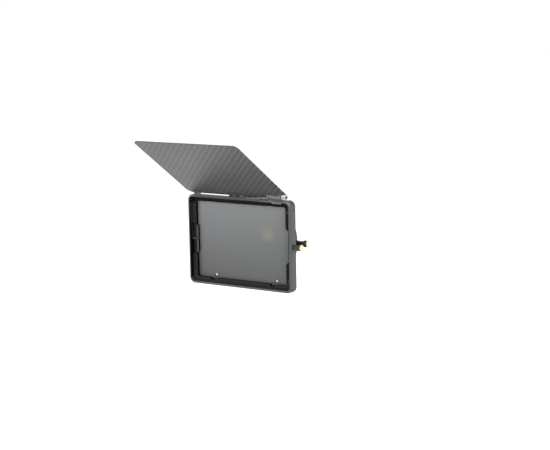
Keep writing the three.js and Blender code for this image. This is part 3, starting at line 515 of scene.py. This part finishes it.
# Solids whose edges are rounded over: name, radius in mm, and a finish other than the slot's
softPieces = {
    "filter_channel": ("stageChannel", 0.12),
    "rear_plate": ("backPlate", 0.25),
    "lens_clamp": ("lensClamp", 0.30),
    "light_seal": ("foamRing", 0.30),
    "filter_glass": ("filterGlass", 0.35),
    "filter_bumper_left": ("bumperLeft", 0.2),
    "filter_bumper_right": ("bumperRight", 0.2),
    # the right pad takes the near black of painted shade
    "right_pad": ("rightPad", 0.25, wellBlack),
    "clamp_shoe": ("clampShoe", 0.25),
    "flag": ("topFlag", 0.22),
    "hinge_base_left": ("baseLeft", 0.12, hingeGrey),
    "hinge_base_middle": ("baseMiddle", 0.12),
    "hinge_base_right": ("baseRight", 0.15, hingeGrey),
    "flag_bracket_left": ("bracketLeft", 0.12),
    "flag_bracket_middle": ("bracketMiddle", 0.12),
    "hinge_barrel_right": ("barrelRight", 0.15, barrelGrey),
    "lock_bushing": ("lockBushing", 0.10),
    "clamp_insert": ("clampInsert", 0.10),
    "left_pad_spring": ("padSpring", 0.06),
    "left_guide_pin": ("guidePin", 0.20, paleGrey),
    "hinge_pin_left": ("pinLeft", 0.12),
    "hinge_pin_middle": ("pinMiddle", 0.12),
    "hinge_axle_right": ("axleRight", 0.15),
    "friction_washer": ("frictionWasher", 0.08),
    "lock_screw": ("lockScrew", 0.15),
    "clamp_screw": ("clampScrew", 0.20),
    "side_plug_left": ("plugLeft", 0.15),
    "side_plug_right": ("plugRight", 0.15),
}
for nodeName, (name, width, *looks) in softPieces.items():
    softened(nodeName, name, width * mm, *looks)


# The bezel has five finishes: shell, dull inside with painted shade and light, chamfers with a painted
# highlight, the window's walls in painted shade and the outer sides with painted light
bezelLook = {
    "edge": 0.30 * mm, "wall": 3.9 * mm, "lip": 0.25 * mm, "ledge": 4.7 * mm,
    "rim": 4.0 * mm, "corner": 8.0 * mm,
    "innerChamfer": 0.9 * mm, "cadChamfer": 2.0 * mm, "outerChamfer": 2.8 * mm,
    "slant": (0.45, 0.90),  # how far a chamfer's normal looks forward
    "turned": (0.2, 0.98),  # how far the normal of the ledge's rounded edge looks to the right
}


def dressBezel(look):
    low, high = boxOf("front_frame")
    middle, half = (low + high) / 2, (high - low) / 2
    bezel = softened("front_frame", "bezel", look["edge"],
                     finishes["anodised"], pocketBlack, paleGrey, wellBlack, sideGrey)
    dull, pale, well, side = range(1, 5)  # the finishes after the first

    # both edges of the rim's front are moved to broader chamfers
    core = half.x - look["corner"], half.z - look["corner"]
    innerRadius = look["corner"] - look["rim"]
    near = 1.5 * look["edge"]
    inwards, outwards = look["innerChamfer"] - look["edge"], look["cadChamfer"] - look["outerChamfer"]
    for vertex in bezel.data.vertices:
        out = vertex.co - middle
        nearest = Vector((min(max(out.x, -core[0]), core[0]), min(max(out.z, -core[1]), core[1])))
        away = Vector((out.x, out.z)) - nearest
        back = vertex.co.y - low.y
        if back < near and away.length < innerRadius + near:
            push = inwards * (1 - back / look["edge"])
            vertex.co.y += inwards * back / look["edge"]
        elif back < look["cadChamfer"]:
            push = outwards * (1 - back / look["cadChamfer"])
        else:
            continue
        vertex.co.x += away.normalized().x * push
        vertex.co.z += away.normalized().y * push

    front = low.y + look["lip"]
    ledge = low.y + look["ledge"]
    flattest, steepest = look["slant"]
    least, most = look["turned"]

    def inside(centre):
        out = centre - middle
        return abs(out.x) < half.x - look["wall"] and abs(out.z) < half.z - look["wall"]

    def outward(centre, normal):
        return (centre.x - middle.x) * normal.x + (centre.z - middle.z) * normal.z > 0

    def onSide(centre, normal):
        out = centre - middle
        outermost = abs(out.x) > half.x - look["edge"] or abs(out.z) > half.z - look["edge"]
        return outermost and abs(normal.y) < flattest and outward(centre, normal)

    def slanting(centre, normal):
        return not inside(centre) and flattest < -normal.y < steepest

    def onLedgeEdge(centre, normal):
        return inside(centre) and least < normal.x < most and ledge < centre.y < ledge + look["edge"]

    # after the shell: the dull inside, painted light on the outer sides, a painted highlight on the outward
    # chamfers and the ledge's edge, painted shade on the window's walls
    paint(bezel.data, dull, lambda centre, normal: inside(centre) and centre.y > front)
    paint(bezel.data, side, onSide)
    paint(bezel.data, pale, slanting)
    paint(bezel.data, dull, lambda centre, normal: slanting(centre, normal) and not outward(centre, normal))
    paint(bezel.data, well, lambda centre, normal: inside(centre) and centre.y > ledge + look["edge"])
    paint(bezel.data, pale, onLedgeEdge)


dressBezel(bezelLook)

# The left pad has a chamfer along its lip with a painted highlight, and its end is near black as painted
# shade
leftPadLook = {
    "edge": 0.15 * mm, "strip": 2.2 * mm, "slope": 0.15, "depth": 0.5 * mm,
    "sharp": 6,  # degrees
}


def dressLeftPad(look):
    pad = softened("left_pad", "leftPad", look["edge"], finishes["black_plastic"], paleGrey, wellBlack)
    low, high = boxOf("left_pad")
    cut = high.x - look["strip"]
    pad.data.attributes.remove(pad.data.attributes["custom_normal"])  # new ones come from smoothByAngle
    work = bmesh.new()
    work.from_mesh(pad.data)
    everything = work.verts[:] + work.edges[:] + work.faces[:]
    bmesh.ops.bisect_plane(work, geom=everything, dist=meshLimits["weld"] / 2,
                           plane_co=(cut, 0, 0), plane_no=(1, 0, 0))
    for vertex in work.verts:
        if vertex.co.x > cut and vertex.co.y < low.y + look["depth"]:
            vertex.co.y += look["slope"] * (vertex.co.x - cut)
    work.to_mesh(pad.data)
    work.free()
    smoothByAngle(pad.data, look["sharp"])
    forward = 0.5  # a normal counts as looking forward or back from here on
    # painted highlight on the lip's chamfer, painted shade on its ends
    paint(pad.data, 1, lambda centre, normal: centre.x > cut and -normal.y > forward)
    paint(pad.data, 2, lambda centre, normal: centre.x > cut and abs(normal.y) < forward)


dressLeftPad(leftPadLook)
print("edges softened")


# Turned pieces: a body is a list of rings, each (distance along X, radius). A radius of 0 closes an end,
# and a third value of True makes the ring a hexagon with that radius to its corners.

def ringRadius(radius, angle, hexagon):
    if not hexagon:
        return radius
    sixth = math.pi / 3
    return radius * math.cos(sixth / 2) / math.cos(angle % sixth - sixth / 2)


def spin(work, rings, centre, sides=48):
    # adds a closed turned body to a bmesh
    loops = []
    for along, radius, *hexagon in rings:
        loop = []
        for i in range(sides if radius else 1):
            angle = 2 * math.pi * i / sides
            out = ringRadius(radius, angle, bool(hexagon))
            point = Vector((along, out * math.cos(angle), out * math.sin(angle)))
            loop.append(work.verts.new(centre + point))
        loops.append(loop)
    for first, second in zip(loops, loops[1:]):
        for i in range(sides):
            j = (i + 1) % sides
            places = (first, i), (second, i), (second, j), (first, j)
            corners = [ring[k % len(ring)] for ring, k in places]
            work.faces.new(list(dict.fromkeys(corners)))  # a closed end has the same corner twice


def roundedEnd(face, radius, edge, inwards, steps=4):
    # rings from an end face round its edge to the side
    rings = []
    for i in range(steps + 1):
        turn = math.pi / 2 * i / steps
        rings.append((face + inwards * edge * (1 - math.cos(turn)), radius - edge * (1 - math.sin(turn))))
    return rings


def pill(start, end, radius, edge):
    # a cylinder with both edges rounded over
    first = roundedEnd(start, radius, edge, 1)
    last = roundedEnd(end, radius, edge, -1)[::-1]
    return [(start, 0)] + first + last + [(end, 0)]


def pillWithSocket(start, end, radius, edge, socket, depth):
    # the same with a hexagon socket in its far end, with a small countersink
    rings = pill(start, end, radius, edge)[:-1]
    sink = 0.12 * socket
    rings += [(end, socket + sink), (end - sink, socket, True)]
    return rings + [(end - depth, socket, True), (end - depth, 0)]


def dished(rings, share, depth):
    # the same body with a shallow round dish in its far end
    end, dish = rings[-1][0], share * rings[-2][1]
    return rings[:-1] + [(end, dish), (end - depth, dish - depth), (end - depth, 0)]


def meshOf(name, *bodies, extra=None):
    # turned bodies, (rings, centre) each, and a ready mesh in one
    work = bmesh.new()
    for rings, centre in bodies:
        spin(work, rings, centre)
    bmesh.ops.recalc_face_normals(work, faces=work.faces)
    if extra:
        work.from_mesh(extra)
    mesh = meshFrom(work, name)
    smoothByAngle(mesh)
    return mesh


def upright(name, rings, sides, centre=Vector()):
    # a turned body that stands along Z
    work = bmesh.new()
    spin(work, rings, Vector(), sides)
    bmesh.ops.recalc_face_normals(work, faces=work.faces)
    bmesh.ops.rotate(work, matrix=Matrix.Rotation(-math.pi / 2, 3, "Y"), verts=work.verts)
    bmesh.ops.translate(work, vec=centre, verts=work.verts)
    return meshFrom(work, name)


# Geometry trees

class Tree(Graph):  # a geometry tree with named inputs
    kinds = {
        "float": "NodeSocketFloat", "int": "NodeSocketInt", "vector": "NodeSocketVector",
        "material": "NodeSocketMaterial", "object": "NodeSocketObject",
        "geometry": "NodeSocketGeometry",
    }

    def __init__(self, name, **inputs):
        super().__init__(bpy.data.node_groups.new(name, "GeometryNodeTree"))
        sockets = self.tree.interface
        sockets.new_socket("Geometry", in_out="INPUT", socket_type=self.kinds["geometry"])
        for key, kind in {**inputs, "finish": "material"}.items():
            sockets.new_socket(key, in_out="INPUT", socket_type=self.kinds[kind])
        sockets.new_socket("Geometry", in_out="OUTPUT", socket_type=self.kinds["geometry"])
        self.entry = self.tree.nodes.new("NodeGroupInput")

    def given(self, key):
        return Wire(self, self.entry.outputs[key])

    def joined(self, *wires):
        node = self.tree.nodes.new("GeometryNodeJoinGeometry")
        for wire in wires:
            self.tree.links.new(wire.socket, node.inputs[0])
        return Wire(self, node.outputs[0])

    def close(self, wire):
        real = self.add("GeometryNodeRealizeInstances", {}, {"Geometry": wire})
        values = {"Geometry": real, "Material": self.given("finish")}
        self.add("NodeGroupOutput", {}, {"Geometry": self.add("GeometryNodeSetMaterial", {}, values)})
        return self.tree


def grow(name, tree, mesh, finish, **values):
    # runs a tree on a mesh and keeps the result as a plain mesh object
    thing = newPiece(name + "Seed", mesh)
    modifier = thing.modifiers.new("grow", "NODES")
    modifier.node_group = tree
    values["finish"] = finish
    for item in tree.interface.items_tree:
        if item.in_out == "INPUT" and item.name in values:
            modifier[item.identifier] = values[item.name]
    return bake(thing, name)


def knurlTree():
    # a ridged cylinder along X whose ends are rounded over
    tree = Tree("knurledHead", start="vector", end="vector", radius="float", groove="float",
                ridges="int", edge="float", steps="int")
    start, end = tree.given("start"), tree.given("end")
    line = tree.add("GeometryNodeCurvePrimitiveLine", {}, {"Start": start, "End": end})
    line = tree.add("GeometryNodeResampleCurve", {}, {"Curve": line, "Count": tree.given("steps")})
    length = tree.add("ShaderNodeVectorMath", {"operation": "DISTANCE"}, {0: start, 1: end}, "Value")
    along = tree.add("GeometryNodeSplineParameter")
    fromEnd = along.atMost(1 - along) * length
    short = (1 - fromEnd / tree.given("edge")).atLeast(0)
    scale = 1 - short * short * tree.given("edge") / tree.given("radius")
    star = tree.add("GeometryNodeCurveStar", {}, {
        "Points": tree.given("ridges"), "Outer Radius": tree.given("radius"),
        "Inner Radius": tree.given("radius") - tree.given("groove"), "Twist": 0.0})
    ridged = tree.add("GeometryNodeCurveToMesh", {}, {
        "Curve": line, "Profile Curve": star, "Scale": scale, "Fill Caps": True})
    return tree.close(ridged)


knurled = knurlTree()


def knurledMesh(name, centre, start, end, look):
    # the ridged part of a knob, between two distances along X
    head = grow(name, knurled, bpy.data.meshes.new(name), None,
                start=centre + Vector((start, 0, 0)), end=centre + Vector((end, 0, 0)),
                radius=look["radius"], groove=look["groove"], ridges=look["ridges"],
                edge=look["edge"], steps=look["steps"])
    mesh = head.data
    bpy.data.objects.remove(head)
    return mesh


# Brass knobs: neck, collar, ridged head and a face with a shallow dish

def knobPiece(nodeName, name, look):
    low, high = boxOf(nodeName)
    centre = Vector((0, (low.y + high.y) / 2, (low.z + high.z) / 2))
    headStart = high.x - look["head"]
    ridgeStart, ridgeEnd = headStart + look["collar"], high.x - look["face"]
    neck = pill(low.x, ridgeStart + look["edge"], look["neck"], look["edge"])
    collar = pill(headStart, ridgeStart + look["edge"], look["radius"] - look["step"], look["edge"])
    face = dished(pill(ridgeEnd - look["edge"], high.x, look["faceRadius"], look["edge"]),
                  look["dish"], look["dishDepth"])
    ridges = knurledMesh(name + "Ridges", centre, ridgeStart, ridgeEnd, look)
    mesh = meshOf(name, (neck, centre), (collar, centre), (face, centre), extra=ridges)
    settle(newPiece(name, mesh), [nodeName], finishes["brass"], agedBrass)
    # painted shade on the ridged part of the head
    paint(mesh, 1, lambda middle, normal: middle.x < ridgeEnd - look["edge"])


lockKnobLook = {
    "head": 7.4 * mm, "collar": 0.8 * mm, "face": 0.7 * mm, "step": 0.45 * mm, "neck": 2.9 * mm,
    "radius": 4.15 * mm, "groove": 0.26 * mm, "ridges": 30, "edge": 0.35 * mm, "steps": 40,
    "faceRadius": 3.9 * mm, "dish": 0.72, "dishDepth": 0.15 * mm,
}
clampKnobLook = {
    **lockKnobLook, "head": 6.8 * mm, "neck": 3.4 * mm,
    "radius": 4.3 * mm, "ridges": 32, "faceRadius": 4.05 * mm,
}
knobPiece("lock_knob", "lockKnob", lockKnobLook)
knobPiece("clamp_knob", "clampKnob", clampKnobLook)

# The chrome knob of the right hinge: a ridged middle between two rims
tensionKnobLook = {
    "rim": 0.9 * mm, "frontRim": 1.8 * mm, "faceRadius": 3.8 * mm, "rounding": 0.4 * mm,
    "radius": 3.75 * mm, "groove": 0.22 * mm, "ridges": 28, "edge": 0.25 * mm, "steps": 24,
    "socket": 2.0 * mm, "socketDepth": 1.9 * mm,
}


def tensionKnob(nodeName, name, look):
    low, high = boxOf(nodeName)
    centre = Vector((0, (low.y + high.y) / 2, (low.z + high.z) / 2))
    backEnd, frontStart = low.x + look["rim"], high.x - look["frontRim"]
    back = pill(low.x, backEnd, look["faceRadius"], look["rounding"])
    front = pillWithSocket(frontStart, high.x, look["faceRadius"], look["rounding"],
                           look["socket"], look["socketDepth"])
    bury = look["rim"] / 2  # the ridges reach this far into both rims
    ridges = knurledMesh(name + "Ridges", centre, backEnd - bury, frontStart + bury, look)
    mesh = meshOf(name, (back, centre), (front, centre), extra=ridges)
    settle(newPiece(name, mesh), [nodeName], finishes["chrome"], finishes["black_steel"])

    # painted shade: the socket takes black oxide, dark as shade in a hollow
    bottom = high.x - 1.1 * look["socketDepth"]  # of the socket, and a little deeper

    def inSocket(middle, normal):
        out = Vector((middle.y - centre.y, middle.z - centre.z))
        return middle.x > bottom and out.length < look["socket"]

    paint(mesh, 1, inSocket)


tensionKnob("tension_knob", "tensionKnob", tensionKnobLook)
print("knobs made")


# Screws: one head and one shank, set on a point for each screw

screwLook = {
    "edge": 0.16, "height": 0.7, "socket": 0.5, "socketDepth": 0.42,  # shares of the head's radius
    "shank": 0.47, "thread": 0.07, "turns": 9, "crest": (0.3, 0.8), "sides": 24,
}
flush = 0.02 * mm  # points of a head count as level within this


def screwTemplates(look):
    # a head of radius 1 and a shank of length 1, both under the origin
    head = pillWithSocket(-look["height"], 0, 1, look["edge"], look["socket"], look["socketDepth"])
    shank = [(-1, 0), (-1, look["shank"] - 2 * look["thread"])]
    crest, root = look["crest"]
    for i in range(look["turns"]):
        shank.append((-1 + (i + crest) / look["turns"], look["shank"]))
        shank.append((-1 + (i + root) / look["turns"], look["shank"] - look["thread"]))
    shank += [(0, look["shank"]), (0, 0)]
    templates = []
    for name, rings in (("headTemplate", head), ("shankTemplate", shank)):
        mesh = upright(name, rings, look["sides"])
        smoothByAngle(mesh)
        templates.append(newPiece(name, mesh))
    return templates


def screwTree():
    tree = Tree("screws", head="object", shank="object")
    facing = tree.add("GeometryNodeInputNamedAttribute", {"data_type": "FLOAT_VECTOR"}, {"Name": "facing"})
    size = tree.add("GeometryNodeInputNamedAttribute", {"data_type": "FLOAT"}, {"Name": "size"})
    reach = tree.add("GeometryNodeInputNamedAttribute", {"data_type": "FLOAT"}, {"Name": "reach"})
    turn = tree.add("FunctionNodeAlignRotationToVector", {"axis": "Z"}, {"Vector": facing})
    sets = []
    for key, stretch in (("head", size), ("shank", reach)):
        shape = tree.add("GeometryNodeObjectInfo", {}, {"Object": tree.given(key)}, "Geometry")
        scale = tree.add("ShaderNodeCombineXYZ", {}, {"X": size, "Y": size, "Z": stretch})
        sets.append(tree.add("GeometryNodeInstanceOnPoints", {}, {
            "Points": tree.given("Geometry"), "Instance": shape, "Rotation": turn, "Scale": scale}))
    return tree.close(tree.joined(*sets))


headTemplate, shankTemplate = screwTemplates(screwLook)
screwNodes = screwTree()
flagTilt = math.radians(carbonLook["tilt"])
screwKinds = {  # the way the head looks, and its radius
    "frame_screw": (Vector((0, 1, 0)), 2.1 * mm),
    "flange_screw": (Vector((0, 1, 0)), 2.1 * mm),
    "ledge_screw": (Vector((0, -1, 0)), 1.5 * mm),
    "hinge_screw": (Vector((0, 0, 1)), 1.45 * mm),
    "flag_screw": (Vector((0, math.sin(flagTilt), math.cos(flagTilt))), 1.6 * mm),
}


def screwPoint(nodeName, facing):
    # the middle of the top of a screw's head, and the screw's whole length
    points = [vertex.co for vertex in nodes[nodeName].data.vertices]
    heights = [point.dot(facing) for point in points]
    top, bottom = max(heights), min(heights)
    rim = [point for point, height in zip(points, heights) if top - height < flush]
    return sum(rim, Vector()) / len(rim), top - bottom


def screwSet(name, *kinds):
    # all the screws of some kinds, which ride on one body, as one piece
    members = [node for node in sorted(nodes) if node.startswith(kinds)]
    mesh = bpy.data.meshes.new(name)
    rows = []
    for node in members:
        kind = next(kind for kind in kinds if node.startswith(kind))
        facing, radius = screwKinds[kind]
        top, length = screwPoint(node, facing)
        rows.append((top, facing, radius, length))
    mesh.from_pydata([row[0] for row in rows], [], [])
    for key, form, column in (("facing", "FLOAT_VECTOR", 1), ("size", "FLOAT", 2), ("reach", "FLOAT", 3)):
        attribute = mesh.attributes.new(key, form, "POINT")
        for i, row in enumerate(rows):
            if form == "FLOAT":
                attribute.data[i].value = row[column]
            else:
                attribute.data[i].vector = row[column]
    finish = finishes[slotOf[members[0]]]
    thing = grow(name, screwNodes, mesh, finish, head=headTemplate, shank=shankTemplate)
    settle(thing, members)


screwSet("bodyScrews", "frame_screw", "flange_screw", "ledge_screw", "hinge_screw")
screwSet("flagScrews", "flag_screw")
for template in (headTemplate, shankTemplate):
    bpy.data.objects.remove(template)
print("screws set")


# Spring fingers: a bent wire with a polished ball at its tip

fingerLook = {
    "wire": 0.35 * mm, "sides": 16, "ball": 1.5 * mm, "steps": 40,
    "foot": 2.6 * mm,  # upright length of the wire at its root
    "bends": ((0.15, 0.40), (0.55, 0.62)),  # between the foot and the tip, as shares in x and z
    "root": 1.1 * mm, "ferrule": 1.45 * mm, "ferruleEdge": 0.2 * mm, "ferruleSides": 24, "sharp": 40,
}


def fingerTree():
    tree = Tree("wireWithBall", wire="float", sides="int", ball="float", steps="int")
    route = tree.add("GeometryNodeMeshToCurve", {}, {"Mesh": tree.given("Geometry")})
    route = tree.add("GeometryNodeCurveSplineType", {"spline_type": "NURBS"}, {"Curve": route})
    route = tree.add("GeometryNodeResampleCurve", {}, {"Curve": route, "Count": tree.given("steps")})
    circle = tree.add("GeometryNodeCurvePrimitiveCircle", {}, {
        "Resolution": tree.given("sides"), "Radius": tree.given("wire")})
    wire = tree.add("GeometryNodeCurveToMesh", {}, {
        "Curve": route, "Profile Curve": circle, "Fill Caps": True})
    tip = tree.add("GeometryNodeCurveEndpointSelection", {}, {"Start Size": 0, "End Size": 1})
    ball = tree.add("GeometryNodeMeshUVSphere", {}, {
        "Segments": tree.given("sides") * 2, "Rings": tree.given("sides"), "Radius": tree.given("ball")})
    balls = tree.add("GeometryNodeInstanceOnPoints", {}, {
        "Points": route, "Selection": tip, "Instance": ball})
    return tree.close(tree.joined(wire, balls))


fingerNodes = fingerTree()


def springFinger(nodeName, name, look):
    low, high = boxOf(nodeName)
    depth = (low.y + high.y) / 2
    rootX, tipX, tipZ = low.x + look["root"], high.x - look["ball"], high.z - look["ball"]
    foot = low.z + look["foot"]
    bends = [(rootX + across * (tipX - rootX), foot + up * (tipZ - foot)) for across, up in look["bends"]]
    route = [(rootX, low.z), (rootX, foot), *bends, (tipX, tipZ)]
    mesh = bpy.data.meshes.new(name)
    mesh.from_pydata([(x, depth, z) for x, z in route], [(i, i + 1) for i in range(len(route) - 1)], [])
    wire = grow(name + "Wire", fingerNodes, mesh, None, wire=look["wire"], sides=look["sides"],
                ball=look["ball"], steps=look["steps"])
    rings = pill(low.z, low.z + look["ferrule"], look["root"], look["ferruleEdge"])
    ferrule = upright("ferrule", rings, look["ferruleSides"], Vector((rootX, depth, 0)))
    work = bmesh.new()
    work.from_mesh(wire.data)
    work.from_mesh(ferrule)
    joined = meshFrom(work, name)
    bpy.data.objects.remove(wire)
    smoothByAngle(joined, look["sharp"])
    settle(newPiece(name, joined), [nodeName], brightChrome, finishes["black_steel"])
    tip = Vector((tipX, depth, tipZ))
    reach = 1.05 * look["ball"]  # a little past the ball's surface
    paint(joined, 1, lambda middle, normal: (middle - tip).length > reach)


springFinger("retainer_spring_left", "springFingerLeft", fingerLook)
springFinger("retainer_spring_right", "springFingerRight", fingerLook)
print("spring fingers made")


# Floor, light and camera

floorLook = {
    "height": -112.5 * mm, "half": 60.0,
    "diffuse": 0.85, "cloud": 0.7, "clouding": 0.01, "glow": 0.58,
}


def paleFloor(look):
    # white to the camera, and a plain pale floor that keeps shadows to all other rays
    mesh = bpy.data.meshes.new("floor")
    signs = ((-1, -1), (1, -1), (1, 1), (-1, 1))
    corners = [(i * look["half"], j * look["half"], look["height"]) for i, j in signs]
    mesh.from_pydata(corners, [], [(0, 1, 2, 3)])
    floor = newPiece("floor", mesh)
    finish = Finish("paleFloor")
    tone = finish.noise(look["cloud"], 2)
    darkest, palest = look["diffuse"] - look["clouding"], look["diffuse"] + look["clouding"]
    pale = finish.mix(tone, grey(darkest), grey(palest))
    matt = finish.add("ShaderNodeBsdfDiffuse", {}, {"Color": pale})
    lit = finish.add("ShaderNodeEmission", {}, {"Color": grey(1), "Strength": look["glow"]})
    none = finish.add("ShaderNodeEmission", {}, {"Strength": 0.0})
    glow = finish.add("ShaderNodeMixShader", {}, {0: finish.seen(), 1: none, 2: lit})
    both = finish.add("ShaderNodeAddShader", {}, {0: matt, 1: glow})
    finish.add("ShaderNodeOutputMaterial", {}, {"Surface": both})
    mesh.materials.append(finish.material)


paleFloor(floorLook)

worldLook = {"seen": 1.0, "ambient": 0.52}


def whiteWorld(look):
    world = bpy.data.worlds.new("studio")
    world.use_nodes = True
    bpy.context.scene.world = world
    graph = Graph(world.node_tree)
    strength = look["ambient"] + graph.seen() * (look["seen"] - look["ambient"])
    background = graph.add("ShaderNodeBackground", {}, {"Color": grey(1), "Strength": strength})
    graph.add("ShaderNodeOutputWorld", {}, {"Surface": background})


whiteWorld(worldLook)

lamps = {  # place, size and power, all turned to the same point
    "side": {"at": (1.35, 0.55, 0.8), "size": 0.9, "radiance": 4.5},
    "top": {"at": (-1.0, -0.25, 1.5), "size": 0.9, "radiance": 4.0},
    "front": {"at": (1.7, -1.0, 0.9), "size": 1.0, "radiance": 4.3},
}
lampAim = Vector((0, 0, 0.03))
for name, lamp in lamps.items():
    light = bpy.data.lights.new(name, "AREA")
    light.shape = "SQUARE"
    light.size = lamp["size"]
    light.energy = lamp["radiance"] * math.pi * lamp["size"] ** 2
    holder = newPiece(name, light)
    holder.location = lamp["at"]
    holder.rotation_euler = (lampAim - Vector(lamp["at"])).to_track_quat("-Z", "Y").to_euler()

cameraLook = {
    "target": (0.057203, -0.0185, 0.026974), "distance": 1.92002, "lens": 102.26,
    "azimuth": 35.779, "elevation": 8.464, "roll": -1.094,
    "sensor": 36, "clip": (0.05, 200),
}


def aimCamera(look):
    data = bpy.data.cameras.new("camera")
    data.lens = look["lens"]
    data.sensor_width = look["sensor"]
    data.clip_start, data.clip_end = look["clip"]
    camera = newPiece("camera", data)
    azimuth, elevation, roll = (math.radians(look[key]) for key in ("azimuth", "elevation", "roll"))
    level = math.cos(elevation)
    back = Vector((math.sin(azimuth) * level, -math.cos(azimuth) * level, math.sin(elevation)))
    right = Vector((math.cos(azimuth), math.sin(azimuth), 0))
    up = back.cross(right)
    right, up = right * math.cos(roll) + up * math.sin(roll), up * math.cos(roll) - right * math.sin(roll)
    turn = Matrix((right, up, back)).transposed().to_4x4()
    camera.matrix_world = Matrix.Translation(Vector(look["target"]) + back * look["distance"]) @ turn
    bpy.context.scene.camera = camera


aimCamera(cameraLook)
bpy.context.scene.view_settings.view_transform = "Standard"
print("stage set")
